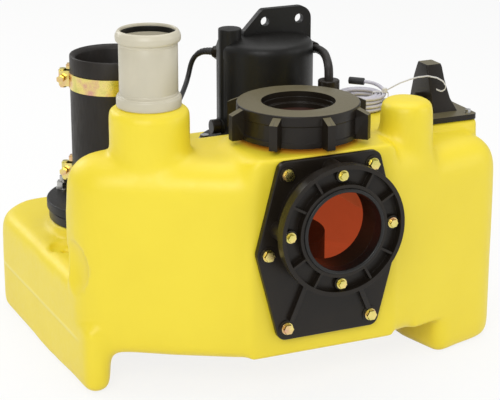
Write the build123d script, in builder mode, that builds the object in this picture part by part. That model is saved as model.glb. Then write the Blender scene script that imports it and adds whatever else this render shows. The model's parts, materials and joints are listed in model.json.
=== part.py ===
from build123d import *
from math import acos, atan2, ceil, cos, degrees, hypot, pi, radians, sin, sqrt, tan
import os

# Sewage lifting station with one pump, in millimetres.
# X runs to the right, Y to the rear and Z up. The origin is on the floor, under the pump shaft.

os.makedirs("parts", exist_ok=True)

# General clearances and overruns
cut = 10.0                    # overrun of a cutting tool past a face
slip = 0.15                   # radial clearance of a plugged or screwed joint
running = 0.05                # radial clearance of a shaft in its bearing
lay = 0.3                     # gap between a moving piece and its seat

# Tank plan and heights
tank_left = 376.0
tank_right = 265.0
tank_rear = 232.0
tank_wall = 5.0
front_wall_y = -321.0         # flat wall beside the plate pad
rear_wall_y = -140.0          # rear of the tall front body
side_front_y = -205.0         # where the left side turns into the front wall
column_front_y = -263.0       # where the front wall meets the right side
crease_half_width = 120.0
belly_z = 55.0
body_top_z = 337.0
body_end_x = 133.5
body_corner_round = 60.0
body_top_round = 44.0
body_rear_round = 16.0
belly_round = 24.0

# Right column and its shoulder
shoulder_top_z = 313.0
shoulder_left_x = 93.5
shoulder_rear_y = -50.0
shoulder_corner_round = 50.0
shoulder_top_round = 42.0
column_left_x = 146.5
column_rear_x = 127.5
column_turn_y = -214.0
column_top_z = 120.0
column_corner_round = 16.0
foot_round = 12.0

# Left leg and plinth
leg_front_y = -224.0
leg_width = 34.0
leg_splay = 62.0
leg_rear_y = -60.0
leg_top_z = 100.0
leg_corner_round = 12.0
plinth_front_y = -157.0
plinth_left_front_y = -66.0     # front of the plinth behind the left leg
plinth_middle_x = -120.0        # left end of the plinth under the pump
plinth_bridge_rear_y = 0.0
leg_brace_width = 16.0
leg_brace_low_z = 6.0
leg_brace_depth = 34.0
plinth_top_z = 155.0
plinth_corner_round = 80.0
plinth_top_round = 22.0
plinth_foot_round = 10.0

# Block under the pump flange, and the shelf beside it
block_left_x = -116.5
block_right_x = 143.5
block_front_y = -185.0
block_rear_y = 140.0
block_low_z = 60.0
block_top_z = 258.0
block_corner_round = 45.0
block_top_round = 14.0
shelf_left_x = 25.5
shelf_right_x = 148.5
shelf_rear_y = -63.0
shelf_low_z = 150.0
shelf_top_round = 12.0
recess_clearance = 10.0       # between the pump flange and the shelf

# Front inlet: plate, collar, clamp ring and pipe seal
inlet_x = -56.5
inlet_z = 215.0
inlet_eccentricity = 35.0
pad_half_width = 114.0
pad_low_z = 57.0
pad_top_z = 346.0
pad_rear_y = -155.0
pad_rear_round = 85.0
pad_proud = 3.0
pad_top_round = 10.0
plate_end_half_width = 76.0
plate_half_width = 110.0
plate_half_height = 129.0
plate_corner_round = 14.0
plate_thickness = 8.0
plate_edge_round = 1.5
plate_gasket_thickness = 3.0
gasket_inset = 1.0            # of a gasket from the edge of its flange
plate_screw_x = 65.0
plate_screw_z = 111.0
plate_side_screw_x = 94.0
plate_boss_radius = 12.0
plate_boss_height = 1.5
opening_half_width = 62.0
collar_radius = 80.0
collar_height = 28.0
collar_rib_width = 7.0
collar_rib_height = 7.0
collar_rib_foot_x = 30.0
pipe_radius = 55.0
pipe_clearance = 0.3
ring_screw_circle_radius = 77.5
ring_boss_radius = 13.5
ring_screw_grip = 12.0        # length of a ring screw in the collar
clamp_radius = 93.0
clamp_depth = 16.0
clamp_floor = 4.0
clamp_rim = 6.0
clamp_inner_radius = 61.0
clamp_inner_rim = 5.0
clamp_rib_width = 3.5
clamp_rib_setback = 1.5
clamp_screw_boss_radius = 10.0
clamp_screw_boss_height = 9.0
spoke_count = 12
seal_flange_radius = 70.0
seal_flange_thickness = 2.0
seal_lip_proud = 3.0
seal_lip_round = 2.4

# Screws: shank radius, head over flats, head height, washer radius and thickness
m8_radius = 4.0
m8_flats = 13.0
m8_head = 5.5
m8_washer_radius = 8.6
m8_washer = 1.8
m6_radius = 3.0
m6_flats = 10.0
m6_head = 4.5
m6_washer_radius = 7.6
m6_washer = 1.6
m5_radius = 2.5
m5_flats = 8.0
m5_head = 4.0
m5_washer_radius = 4.6
m5_washer = 1.2
insert_radius = 6.0
insert_length = 16.0
insert_boss_radius = 10.5
insert_boss_floor = 4.0
insert_fit = 0.05
small_insert_radius = 3.8
small_insert_length = 10.0
small_boss_radius = 7.5
screw_end_gap = 2.0           # from a screw's end to the bottom of its hole

# Top inlet: neck, gasket, adapter and screw ring
top_inlet_y = -233.0
neck_radius = 75.0
neck_wall = 6.0
neck_top_z = 380.0
neck_gasket_thickness = 2.5
adapter_flange_thickness = 7.5
adapter_play = 9.7            # radial gap between the adapter tube and the neck
adapter_ledge = 4.8
adapter_wall = 8.0
adapter_socket_depth = 8.0
adapter_depth = 28.0
screw_ring_wall = 11.0
screw_ring_top = 7.4
screw_ring_skirt = 38.0
screw_ring_clearance = 1.0
screw_ring_edge = 2.0
lug_reach = 17.0
lug_width = 12.0
lug_count = 8
lug_top_drop = 3.0
lug_chamfer = 7.0
band_recess = 1.5
band_margin = 7.0

# Vent stub, sleeve and lip seals
vent_x = -264.5
vent_y = -193.0
vent_stub_radius = 56.0
vent_stub_top_z = 403.0
vent_stub_low_z = 300.0
vent_stub_round = 7.0
vent_pipe_radius = 37.5
vent_pipe_wall = 4.0
vent_spigot_height = 46.0
sleeve_clearance = 0.2
sleeve_ease = 0.4              # extra radial room where the sleeve slips over the stub
sleeve_wall = 2.9
sleeve_length = 107.0
sleeve_collar_radius = 45.0
sleeve_collar_height = 17.0
sleeve_collar_round = 2.0
sleeve_stop_height = 3.0
sleeve_stop_depth = 4.0
sleeve_gap = 1.0
groove_depth = 4.2
groove_height = 8.0
groove_margin = 4.0

# Closed stub on the right
hand_stub_x = 99.5
hand_stub_y = -265.0
hand_stub_low_z = 200.0
hand_stub_top_z = 392.0
hand_stub_low_radius = 43.0
hand_stub_top_radius = 37.7
hand_stub_round = 4.0

# Fixing dishes and grip scoop
dish_radius = 24.0
dish_depth = 7.0
dish_hole_radius = 7.0
dish_tube_radius = 13.0
dish_left_x = -334.5
dish_right_x = 226.0
dish_y = -26.0
scoop_radius = 60.0
scoop_y = -184.0
scoop_z = 180.0
scoop_depth = 17.0

# Discharge: pad, valve base, flap, spigot, hose and clamps
valve_x = -228.5
valve_y = 47.0
valve_pad_z = 171.0
valve_pad_radius = 104.0
valve_pad_round = 5.0
valve_flange_radius = 102.0
valve_flange_thickness = 13.0
valve_tube_radius = 48.0
valve_bore_radius = 38.0
valve_tube_drop = 41.0
valve_gasket_thickness = 3.0
seat_rim_width = 5.0
seat_rim_height = 4.0
spigot_flange_radius = 105.0
spigot_flange_thickness = 13.0
flange_edge_round = 2.0
spigot_wall = 3.9
spigot_height = 78.0
spigot_hub_radius = 62.0
spigot_hub_height = 4.0
flap_radius = 41.0
flap_thickness = 5.0
flap_pin_radius = 2.0
flap_pin_offset = 44.0
flap_knuckle_radius = 4.0
flap_knuckle_width = 20.0
flap_arm_length = 30.0
flap_lug_radius = 3.6
flap_lug_width = 3.5
flap_lug_gap = 0.5
flange_bolt_circle_radius = 88.0
flange_bolt_count = 4
m12_radius = 6.0
m12_flats = 19.0
m12_nut = 10.0
m12_washer_radius = 12.0
m12_washer = 2.5
stud_end = 8.5
stud_root = 9.0
stud_boss_radius = 12.0
hose_inner_radius = 55.2
hose_spigot_clearance = 0.3
hose_step_height = 1.0        # from the spigot's end to the stop bead inside the hose
hose_stop_height = 3.0
hose_stop_depth = 4.0
hose_wall = 9.2
hose_top_z = 421.5
hose_edge_round = 2.5
clamp_band_width = 24.0
clamp_band_thickness = 1.4
clamp_low_z = 227.0
clamp_high_z = 371.5
clamp_angle_deg = 141.0
trunnion_radius = 5.0
trunnion_half_spread = 16.0
trunnion_out = 9.0
trunnion_proud = 2.5
clamp_bolt_radius = 3.0
clamp_bolt_head = 5.0

# Pump: flange, motor, hydraulics
pump_flange_margin = 9.5
pump_flange_thickness = 13.0
pump_gasket_thickness = 3.0
pump_opening_radius = 82.0
pump_spigot_wall = 5.0
pump_spigot_drop = 12.0
pump_screw_margin = 9.0       # from the motor foot to the screw circle
pump_screw_count = 8
pump_hub_radius = 36.0
pump_hub_drop = 18.0
shaft_radius = 9.0
shaft_low_z = 88.0
shaft_top_z = 398.0
shaft_passage = 1.0           # radial gap round the shaft in a plain hole
bearing_width = 15.0
lower_bearing_radius = 26.0
upper_bearing_radius = 20.0
motor_radius = 73.5
motor_wall = 4.5
motor_side_top_z = 414.0
motor_dome_round = 12.0
motor_dome_z = 427.0
motor_dome_inset = 11.5
motor_crown_z = 440.0
motor_crown_radius = 28.0
motor_foot_reach = 10.0
motor_foot = 8.0
duct_x = -58.0
duct_radius = 17.5
duct_top_z = 453.0
duct_round = 1.5
lug_plate_thickness = 11.0
lug_plate_top_z = 478.0
lug_plate_low_z = 400.0
lug_slope_x = -37.0
lug_slope_z = 446.0
lug_top_x = -6.0
lug_right_x = 75.0
lug_corner_round = 20.0
lug_slope_round = 9.0
lug_hole_radius = 7.0
lug_hole_z = 459.0
lug_hole_left_x = -2.0
lug_hole_right_x = 55.0
stator_low_z = 300.0
stator_height = 72.0
stator_bore_radius = 36.0
stator_fit = 0.3
winding_height = 16.0
winding_inner_radius = 40.0
winding_wall = 22.0
winding_round = 5.0
rotor_gap = 0.7
rotor_fit = 0.05
bearing_seat_wall = 5.0
oil_plug_z = 303.0
oil_plug_radius = 11.0
oil_plug_length = 13.0
oil_shank_radius = 5.0
oil_plug_round = 1.5
oil_boss_radius = 13.0
oil_boss_out = 3.0
housing_screw_count = 4
column_tube_radius = 48.0
column_tube_wall = 8.0
oil_chamber_low_z = 124.0
oil_chamber_height = 66.0
oil_chamber_radius = 60.0
oil_chamber_wall = 8.0
seal_ring_radius = 20.0
seal_ring_height = 18.0
volute_low_z = 34.0
volute_radius = 95.0
volute_wall = 8.0
volute_height = 90.0
volute_roof = 6.0
nozzle_length = 20.0
nozzle_wall = 4.0
nozzle_outer = 40.0
nozzle_y = 47.0
nozzle_z = 76.0
pressure_wall = 3.5
pressure_overlap = 15.0       # of the pressure pipe over the nozzle
pressure_socket = 20.0
suction_plate_thickness = 6.0
suction_radius = 36.0
suction_screw_count = 6
impeller_radius = 66.0
impeller_plate = 6.0
impeller_top_gap = 6.0
impeller_hub_radius = 16.0
vane_count = 8
vane_width = 5.0
vane_height = 22.0
vane_bow = 12.0
impeller_screw_radius = 12.0
impeller_screw_head = 6.0
impeller_screw_grip = 20.0
bend_radius = 46.0

# Motor lead gland, vent hose gland and riser
gland_radius = 11.0
gland_length = 14.0
gland_nut_flats = 22.0
gland_nut = 9.0
gland_run = 9.0               # straight lead beyond the gland
lead_gland_angle_deg = 129.0
lead_gland_z = 402.0
elbow_radius = 8.5
elbow_y = 6.0
elbow_z = 410.5
elbow_end_y = -6.0
riser_x = 47.5
riser_y = -122.0
riser_pipe_radius = 10.5
riser_socket_radius = 16.0
riser_socket_length = 38.0
riser_top_z = 391.0
riser_flange_radius = 15.0
riser_flange = 4.0
riser_bore_radius = 6.5
vent_hose_radius = 6.6
vent_hose_depth = 12.0

# Level sensor
sensor_x = 209.5
sensor_y = -142.5
sensor_boss_width = 108.0
sensor_boss_depth = 109.0
sensor_boss_top_z = 325.0
sensor_boss_low_z = 230.0
sensor_boss_round = 10.0
sensor_margin = 2.0           # from the boss edge to the base plate
sensor_gasket_thickness = 2.0
sensor_plate_thickness = 6.0
sensor_plate_round = 9.0
sensor_opening_radius = 40.0
sensor_screw_inset = 11.0
tower_top_z = 403.0
tower_wall = 3.0
tower_round = 2.0
float_radius = 34.0
float_height = 62.0
float_low_z = 100.0
float_travel = 90.0
float_round = 8.0
rod_radius = 4.0
rod_top_z = 308.0
guide_radius = 12.0
guide_low_z = 288.0
guide_clearance = 0.1
sensor_gland_radius = 6.5
sensor_gland_length = 10.0
sensor_gland_z = 350.0
sensor_gland_y = -128.0

# Coils of lead, their ties and plugs
motor_lead_radius = 4.0
motor_coil_x = -186.5
motor_coil_mid_radius = 44.0
motor_coil_pitch = 8.6
motor_coil_turns = 13.0
motor_coil_peel = 22.0
motor_plug_radius = 15.0
motor_boot_radius = 7.0
motor_boot_length = 14.0
sensor_lead_radius = 2.75
sensor_coil_x = 107.5
sensor_coil_y = -109.0
sensor_coil_mid_radius = 30.0
sensor_coil_pitch = 6.0
sensor_coil_turns = 9.875
sensor_coil_peel = 9.5
sensor_plug_radius = 5.5
sensor_plug_length = 24.0
coil_layers = 4
climb_turns = 0.5             # part of a turn in which a coil climbs a layer
sample_turns = 0.25
peel_sample_turns = 0.125
slope_step = 0.0001
bend_share = 0.45
plug_round = 2.0
coil_rest = 1.6               # lift of a coil off its surface, on the tie
tie_thickness = 1.2
tie_width = 4.8
tie_head_length = 7.0
tie_head_width = 7.5
tie_head_height = 5.0
tie_play = 1.0
tie_corner_round = 2.5
tail_round = 5.0
tie_angle_deg = -32.0

# Derived places
adapter_socket_radius = neck_radius - neck_wall - adapter_play - adapter_wall
adapter_ledge_radius = adapter_socket_radius - adapter_ledge
screw_ring_radius = neck_radius + screw_ring_clearance + screw_ring_wall
lug_radius = screw_ring_radius + lug_reach
motor_foot_radius = motor_radius + motor_foot_reach
motor_dome_radius = motor_radius - motor_dome_inset
pump_screw_circle_radius = motor_foot_radius + pump_screw_margin
pump_flange_radius = pump_screw_circle_radius + pump_flange_margin
elbow_x = motor_radius + elbow_radius
left_x = -tank_left
right_x = tank_right
pad_face_y = front_wall_y - pad_proud
plate_back_y = pad_face_y - plate_gasket_thickness
plate_face_y = plate_back_y - plate_thickness
collar_face_y = plate_face_y - collar_height
clamp_face_y = collar_face_y - clamp_depth
pipe_z = inlet_z + inlet_eccentricity
bore_radius = pipe_radius + pipe_clearance
pump_seat_z = block_top_z + pump_gasket_thickness
pump_face_z = pump_seat_z + pump_flange_thickness
recess_radius = pump_flange_radius + recess_clearance
valve_face_z = valve_pad_z + valve_flange_thickness
spigot_seat_z = valve_face_z + valve_gasket_thickness
spigot_face_z = spigot_seat_z + spigot_flange_thickness
sensor_seat_z = sensor_boss_top_z + sensor_gasket_thickness
sensor_face_z = sensor_seat_z + sensor_plate_thickness
adapter_seat_z = neck_top_z + neck_gasket_thickness
adapter_top_z = adapter_seat_z + adapter_flange_thickness
sleeve_low_z = vent_stub_top_z + sleeve_gap
sleeve_top_z = sleeve_low_z + sleeve_length
wall_turn_x = inlet_x + crease_half_width
wall_slope = (column_front_y - front_wall_y) / (right_x - wall_turn_x)


def wall_y(x):
    """Front wall to the right of the inlet, which runs back towards the side."""
    return front_wall_y + wall_slope * (x - wall_turn_x)


def front(x, y, z):
    """Plane facing the front, with X to the right and its own Y up."""
    return Plane(origin=(x, y, z), x_dir=(1, 0, 0), z_dir=(0, -1, 0))


def level(x, y, z):
    """Level plane facing up."""
    return Plane(origin=(x, y, z))


def strip(start, end, width):
    """Corners of a straight strip between two points."""
    run = hypot(end[0] - start[0], end[1] - start[1])
    across_x = (start[1] - end[1]) / run * width / 2
    across_y = (end[0] - start[0]) / run * width / 2
    return [
        (start[0] + across_x, start[1] + across_y),
        (end[0] + across_x, end[1] + across_y),
        (end[0] - across_x, end[1] - across_y),
        (start[0] - across_x, start[1] - across_y),
    ]


def block(points, radii, low, high, inset, top_round, foot_round=0, plain=None, plain_round=0):
    """Block with rounded corners, drawn in by inset; plain names an edge with its own round."""
    with BuildPart() as made:
        with BuildSketch(Plane.XY.offset(low + inset)):
            with BuildLine():
                FilletPolyline(*points, radius=list(radii), close=True)
            make_face()
            if inset > 0:
                offset(amount=-inset)
        extrude(amount=high - low - 2 * inset)
        rim = made.edges().group_by(Axis.Z)[-1]
        rest = rim
        if plain == "front":
            rest = rim.sort_by(Axis.Y)[1:]
        if plain == "rear":
            rest = rim.sort_by(Axis.Y)[:-1]
        fillet(rest, radius=top_round - inset)
        if plain_round > inset:
            fillet(made.edges().group_by(Axis.Z)[-1].sort_by(Axis.Y)[-1], radius=plain_round - inset)
        if foot_round > inset:
            foot = made.edges().group_by(Axis.Z)[0]
            if plain == "front":
                foot = foot.sort_by(Axis.Y)[1:]
            fillet(foot, radius=foot_round - inset)
    return made.part


def turned(x, y, points, radii=None):
    """Solid of revolution about a vertical axis; points are radius and height."""
    with BuildPart() as made:
        with BuildSketch(front(x, y, 0)):
            with BuildLine():
                if radii is None:
                    Polyline(*points, close=True)
                else:
                    FilletPolyline(*points, radius=list(radii), close=True)
            make_face()
        revolve(axis=Axis((x, y, 0), (0, 0, 1)))
    return made.part


def pipe(x, y, low, high, outer, inner=0):
    """Upright round bar or pipe."""
    with BuildPart() as made:
        with BuildSketch(level(x, y, low)):
            Circle(outer)
            if inner > 0:
                Circle(inner, mode=Mode.SUBTRACT)
        extrude(amount=high - low)
    return made.part


def rods(seats, radius, length):
    """Round bars that go down into each seat plane by length."""
    with BuildPart() as made:
        for seat in seats:
            with BuildSketch(seat):
                Circle(radius)
            extrude(amount=-length)
    return made.part


def hex_screws(seats, shank, flats, head, washer_radius, washer, length):
    """Hex-head screws with a washer face; each seat plane faces outward."""
    with BuildPart() as made:
        for seat in seats:
            with BuildSketch(seat):
                Circle(washer_radius)
            extrude(amount=washer)
            with BuildSketch(seat.offset(washer)):
                RegularPolygon(flats / 2, 6, major_radius=False)
            extrude(amount=head)
            with BuildSketch(seat):
                Circle(shank)
            extrude(amount=-length)
    return made.part


def around(x, y, z, radius, count, start_deg=0):
    """Level planes spaced evenly round a circle."""
    turns = [radians(start_deg + 360 * i / count) for i in range(count)]
    return [level(x + radius * cos(a), y + radius * sin(a), z) for a in turns]


# Corners of the blocks that make up the tank
body_points = [
    (left_x, rear_wall_y),
    (left_x, side_front_y),
    (inlet_x - crease_half_width, front_wall_y),
    (wall_turn_x, front_wall_y),
    (body_end_x, wall_y(body_end_x)),
    (body_end_x, rear_wall_y),
]
body_radii = [0, body_corner_round, body_corner_round, body_corner_round, 0, 0]
pad_points = [
    (inlet_x - pad_half_width, pad_face_y),
    (inlet_x + pad_half_width, pad_face_y),
    (inlet_x + pad_half_width, pad_rear_y),
    (inlet_x - pad_half_width, pad_rear_y),
]
pad_radii = [0, 0, pad_rear_round, pad_rear_round]
shoulder_points = [
    (shoulder_left_x, wall_y(shoulder_left_x)),
    (right_x, column_front_y),
    (right_x, shoulder_rear_y),
    (shoulder_left_x, shoulder_rear_y),
]
shoulder_radii = [0, shoulder_corner_round, shoulder_corner_round, 0]
column_points = [
    (column_left_x, wall_y(column_left_x)),
    (right_x, column_front_y),
    (right_x, shoulder_rear_y),
    (column_rear_x, shoulder_rear_y),
    (column_rear_x, column_turn_y),
]
column_radii = [
    column_corner_round,
    shoulder_corner_round,
    shoulder_corner_round,
    column_corner_round,
    column_corner_round,
]
leg_points = [
    (left_x, leg_front_y),
    (left_x + leg_width, leg_front_y),
    (left_x + leg_width + leg_splay, leg_rear_y),
    (left_x, leg_rear_y),
]
leg_radii = [leg_corner_round] * 4
plinth_points = [
    (left_x, plinth_left_front_y),
    (right_x, plinth_left_front_y),
    (right_x, tank_rear),
    (left_x, tank_rear),
]
plinth_middle_points = [
    (plinth_middle_x, plinth_front_y),
    (right_x, plinth_front_y),
    (right_x, plinth_bridge_rear_y),
    (plinth_middle_x, plinth_bridge_rear_y),
]
plinth_bridge_points = [
    (left_x, plinth_front_y),
    (right_x, plinth_front_y),
    (right_x, plinth_bridge_rear_y),
    (left_x, plinth_bridge_rear_y),
]
plinth_radii = [0, 0, plinth_corner_round, plinth_corner_round]
pump_block_points = [
    (block_left_x, block_front_y),
    (block_right_x, block_front_y),
    (block_right_x, block_rear_y),
    (block_left_x, block_rear_y),
]
pump_block_radii = [0, 0, block_corner_round, block_corner_round]
shelf_points = [
    (shelf_left_x, block_front_y),
    (shelf_right_x, block_front_y),
    (shelf_right_x, shelf_rear_y),
    (shelf_left_x, shelf_rear_y),
]


def sensor_boss(inset):
    """Block under the level sensor."""
    half_x = sensor_boss_width / 2
    half_y = sensor_boss_depth / 2
    corners = [
        (sensor_x - half_x, sensor_y - half_y),
        (sensor_x + half_x, sensor_y - half_y),
        (sensor_x + half_x, sensor_y + half_y),
        (sensor_x - half_x, sensor_y + half_y),
    ]
    with BuildPart() as made:
        with BuildSketch(Plane.XY.offset(sensor_boss_low_z + inset)):
            with BuildLine():
                FilletPolyline(*corners, radius=sensor_boss_round, close=True)
            make_face()
            if inset > 0:
                offset(amount=-inset)
        extrude(amount=sensor_boss_top_z - sensor_boss_low_z - 2 * inset)
    return made.part


def shelf(inset):
    """Shelf beside the pump, hollowed out round the pump flange."""
    with BuildPart() as made:
        with BuildSketch(Plane.XY.offset(shelf_low_z + inset)):
            with BuildLine():
                Polyline(*shelf_points, close=True)
            make_face()
            if inset > 0:
                offset(amount=-inset)
            Circle(recess_radius + inset, mode=Mode.SUBTRACT)
        extrude(amount=body_top_z - shelf_low_z - 2 * inset)
        corners = made.edges().filter_by(Axis.Z).sort_by(Axis.Y)[-2:]
        fillet(corners, radius=shelf_top_round - inset)
    return made.part


def tank_blocks(inset):
    """Blocks whose union is the tank, drawn in by inset on every side."""
    half_front = vent_stub_low_z + inset
    hand_low = hand_stub_low_z + inset
    return [
        block(body_points, body_radii, belly_z, body_top_z, inset, body_top_round,
              belly_round, "rear", body_rear_round),
        block(pad_points, pad_radii, pad_low_z, pad_top_z, inset, pad_top_round, 0, "front"),
        block(shoulder_points, shoulder_radii, belly_z, shoulder_top_z, inset, shoulder_top_round),
        block(column_points, column_radii, 0, column_top_z, inset, foot_round, foot_round),
        block(leg_points, leg_radii, 0, leg_top_z, inset, plinth_foot_round, plinth_foot_round),
        block(plinth_points, plinth_radii, 0, plinth_top_z, inset, plinth_top_round,
              plinth_foot_round, "front"),
        block(plinth_middle_points, [0] * 4, 0, leg_top_z, inset, plinth_foot_round,
              plinth_foot_round, "front"),
        block(plinth_bridge_points, [0] * 4, belly_z, plinth_top_z, inset, plinth_top_round, 0,
              "front"),
        block(pump_block_points, pump_block_radii, block_low_z, block_top_z, inset,
              block_top_round, 0, "front"),
        shelf(inset),
        sensor_boss(inset),
        turned(valve_x, valve_y, [
            (0, plinth_top_z - plinth_top_round),
            (valve_pad_radius - inset, plinth_top_z - plinth_top_round),
            (valve_pad_radius - inset, valve_pad_z - inset),
            (0, valve_pad_z - inset),
        ], [0, 0, valve_pad_round if inset == 0 else 0, 0]),
        turned(vent_x, vent_y, [
            (0, half_front),
            (vent_stub_radius - inset, half_front),
            (vent_stub_radius - inset, vent_stub_top_z - inset),
            (0, vent_stub_top_z - inset),
        ], [0, 0, vent_stub_round - inset, 0]),
        turned(hand_stub_x, hand_stub_y, [
            (0, hand_low),
            (hand_stub_low_radius - inset, hand_low),
            (hand_stub_top_radius - inset, hand_stub_top_z - inset),
            (0, hand_stub_top_z - inset),
        ], [0, 0, hand_stub_round if inset == 0 else 0, 0]),
    ]


# Screw and insert places
plate_screw_places = [
    (plate_screw_x, plate_screw_z),
    (-plate_screw_x, plate_screw_z),
    (plate_screw_x, -plate_screw_z),
    (-plate_screw_x, -plate_screw_z),
    (plate_side_screw_x, 0),
    (-plate_side_screw_x, 0),
]
sensor_screw_x = sensor_boss_width / 2 - sensor_margin - sensor_screw_inset
sensor_screw_y = sensor_boss_depth / 2 - sensor_margin - sensor_screw_inset
plate_insert_seats = [front(inlet_x + x, pad_face_y, inlet_z + z) for x, z in plate_screw_places]
pump_screw_start_deg = 180 / pump_screw_count
pump_insert_seats = around(0, 0, block_top_z, pump_screw_circle_radius, pump_screw_count,
                           pump_screw_start_deg)
sensor_insert_seats = [
    level(sensor_x + i * sensor_screw_x, sensor_y + j * sensor_screw_y, sensor_boss_top_z)
    for i in (-1, 1)
    for j in (-1, 1)
]
stud_start_deg = 180 / flange_bolt_count
stud_hole_seats = around(valve_x, valve_y, valve_pad_z, flange_bolt_circle_radius,
                         flange_bolt_count, stud_start_deg)
dish_places = [(dish_left_x, dish_y), (dish_right_x, dish_y)]

# Tank inside, with what stands in it left out
with BuildPart() as tank_inside:
    for form in tank_blocks(tank_wall):
        add(form)
    add(pipe(inlet_x, top_inlet_y, body_top_z - neck_radius, neck_top_z - tank_wall,
             neck_radius - neck_wall))
    add(rods(plate_insert_seats, insert_boss_radius, insert_length + insert_boss_floor),
        mode=Mode.SUBTRACT)
    add(rods(pump_insert_seats, insert_boss_radius, insert_length + insert_boss_floor),
        mode=Mode.SUBTRACT)
    add(rods(sensor_insert_seats, small_boss_radius, small_insert_length + insert_boss_floor),
        mode=Mode.SUBTRACT)
    add(rods(stud_hole_seats, stud_boss_radius, stud_root + insert_boss_floor), mode=Mode.SUBTRACT)
    for x, y in dish_places:
        add(pipe(x, y, plinth_top_z - dish_depth - tank_wall, plinth_top_z, dish_radius + tank_wall),
            mode=Mode.SUBTRACT)
        add(pipe(x, y, 0, plinth_top_z, dish_tube_radius), mode=Mode.SUBTRACT)
    with BuildSketch(front(left_x - scoop_radius + scoop_depth, scoop_y, scoop_z)):
        with BuildLine():
            Line((0, scoop_radius + tank_wall), (0, -scoop_radius - tank_wall))
            ThreePointArc((0, -scoop_radius - tank_wall), (scoop_radius + tank_wall, 0),
                          (0, scoop_radius + tank_wall))
        make_face()
    revolve(axis=Axis((left_x - scoop_radius + scoop_depth, scoop_y, scoop_z), (0, 0, 1)),
            mode=Mode.SUBTRACT)

# Tank shell
leg_right_x = left_x + leg_width
with BuildPart() as tank_shell:
    for form in tank_blocks(0):
        add(form)
    with BuildSketch(front(leg_right_x, leg_front_y + leg_brace_depth + leg_corner_round, 0)):
        with BuildLine():
            Polyline((-leg_brace_width, leg_brace_low_z), (0, leg_brace_low_z),
                     (leg_brace_width, belly_z + belly_round), (-leg_brace_width, belly_z + belly_round),
                     close=True)
        make_face()
    extrude(amount=leg_brace_depth)
    add(pipe(inlet_x, top_inlet_y, body_top_z - neck_radius, neck_top_z, neck_radius))
    add(pipe(vent_x, vent_y, vent_stub_top_z - tank_wall, vent_stub_top_z + vent_spigot_height,
             vent_pipe_radius))
    with BuildSketch(front(left_x - scoop_radius + scoop_depth, scoop_y, scoop_z)):
        with BuildLine():
            Line((0, scoop_radius), (0, -scoop_radius))
            ThreePointArc((0, -scoop_radius), (scoop_radius, 0), (0, scoop_radius))
        make_face()
    revolve(axis=Axis((left_x - scoop_radius + scoop_depth, scoop_y, scoop_z), (0, 0, 1)),
            mode=Mode.SUBTRACT)
    for x, y in dish_places:
        add(pipe(x, y, plinth_top_z - dish_depth, plinth_top_z + cut, dish_radius),
            mode=Mode.SUBTRACT)
    add(tank_inside.part, mode=Mode.SUBTRACT)
    # Openings
    with BuildSketch(front(inlet_x, pad_face_y, inlet_z)):
        SlotCenterToCenter(2 * inlet_eccentricity, 2 * opening_half_width, rotation=90)
    extrude(amount=-tank_wall - cut, mode=Mode.SUBTRACT)
    add(pipe(inlet_x, top_inlet_y, neck_top_z - tank_wall - cut, neck_top_z + cut,
             neck_radius - neck_wall), mode=Mode.SUBTRACT)
    add(pipe(vent_x, vent_y, vent_stub_top_z - tank_wall - cut,
             vent_stub_top_z + vent_spigot_height + cut, vent_pipe_radius - vent_pipe_wall),
        mode=Mode.SUBTRACT)
    add(pipe(0, 0, block_top_z - tank_wall - cut, block_top_z + cut, pump_opening_radius),
        mode=Mode.SUBTRACT)
    add(pipe(valve_x, valve_y, valve_pad_z - tank_wall - cut, valve_pad_z + cut,
             valve_tube_radius + slip), mode=Mode.SUBTRACT)
    add(pipe(sensor_x, sensor_y, sensor_boss_top_z - tank_wall - cut, sensor_boss_top_z + cut,
             sensor_opening_radius), mode=Mode.SUBTRACT)
    add(pipe(riser_x, riser_y, body_top_z - tank_wall - cut, body_top_z + cut,
             riser_bore_radius), mode=Mode.SUBTRACT)
    # Holes for inserts, studs and floor fixings
    add(rods(plate_insert_seats, insert_radius + insert_fit, insert_length), mode=Mode.SUBTRACT)
    add(rods(pump_insert_seats, insert_radius + insert_fit, insert_length), mode=Mode.SUBTRACT)
    add(rods(sensor_insert_seats, small_insert_radius + insert_fit, small_insert_length),
        mode=Mode.SUBTRACT)
    add(rods(stud_hole_seats, m12_radius + slip, stud_root), mode=Mode.SUBTRACT)
    for x, y in dish_places:
        add(pipe(x, y, -cut, plinth_top_z, dish_hole_radius), mode=Mode.SUBTRACT)
tank_shell.part.label = "tank_shell"
export_step(tank_shell.part, "parts/tank_shell.step")

# Threaded inserts
with BuildPart() as threaded_inserts:
    add(rods(plate_insert_seats, insert_radius, insert_length))
    add(rods(pump_insert_seats, insert_radius, insert_length))
    add(rods(plate_insert_seats, m8_radius + insert_fit, insert_length), mode=Mode.SUBTRACT)
    add(rods(pump_insert_seats, m8_radius + insert_fit, insert_length), mode=Mode.SUBTRACT)
    add(rods(sensor_insert_seats, small_insert_radius, small_insert_length))
    add(rods(sensor_insert_seats, m5_radius + insert_fit, small_insert_length), mode=Mode.SUBTRACT)
threaded_inserts.part.label = "threaded_inserts"
export_step(threaded_inserts.part, "parts/threaded_inserts.step")

# Front inlet plate
plate_points = [
    (plate_end_half_width, plate_half_height),
    (plate_half_width, 0),
    (plate_end_half_width, -plate_half_height),
    (-plate_end_half_width, -plate_half_height),
    (-plate_half_width, 0),
    (-plate_end_half_width, plate_half_height),
]
plate_seats = [front(inlet_x + x, plate_face_y - plate_boss_height, inlet_z + z)
               for x, z in plate_screw_places]
plate_depth = plate_gasket_thickness + plate_thickness + plate_boss_height
ring_angles = [0, 90, 180, 270]

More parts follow.
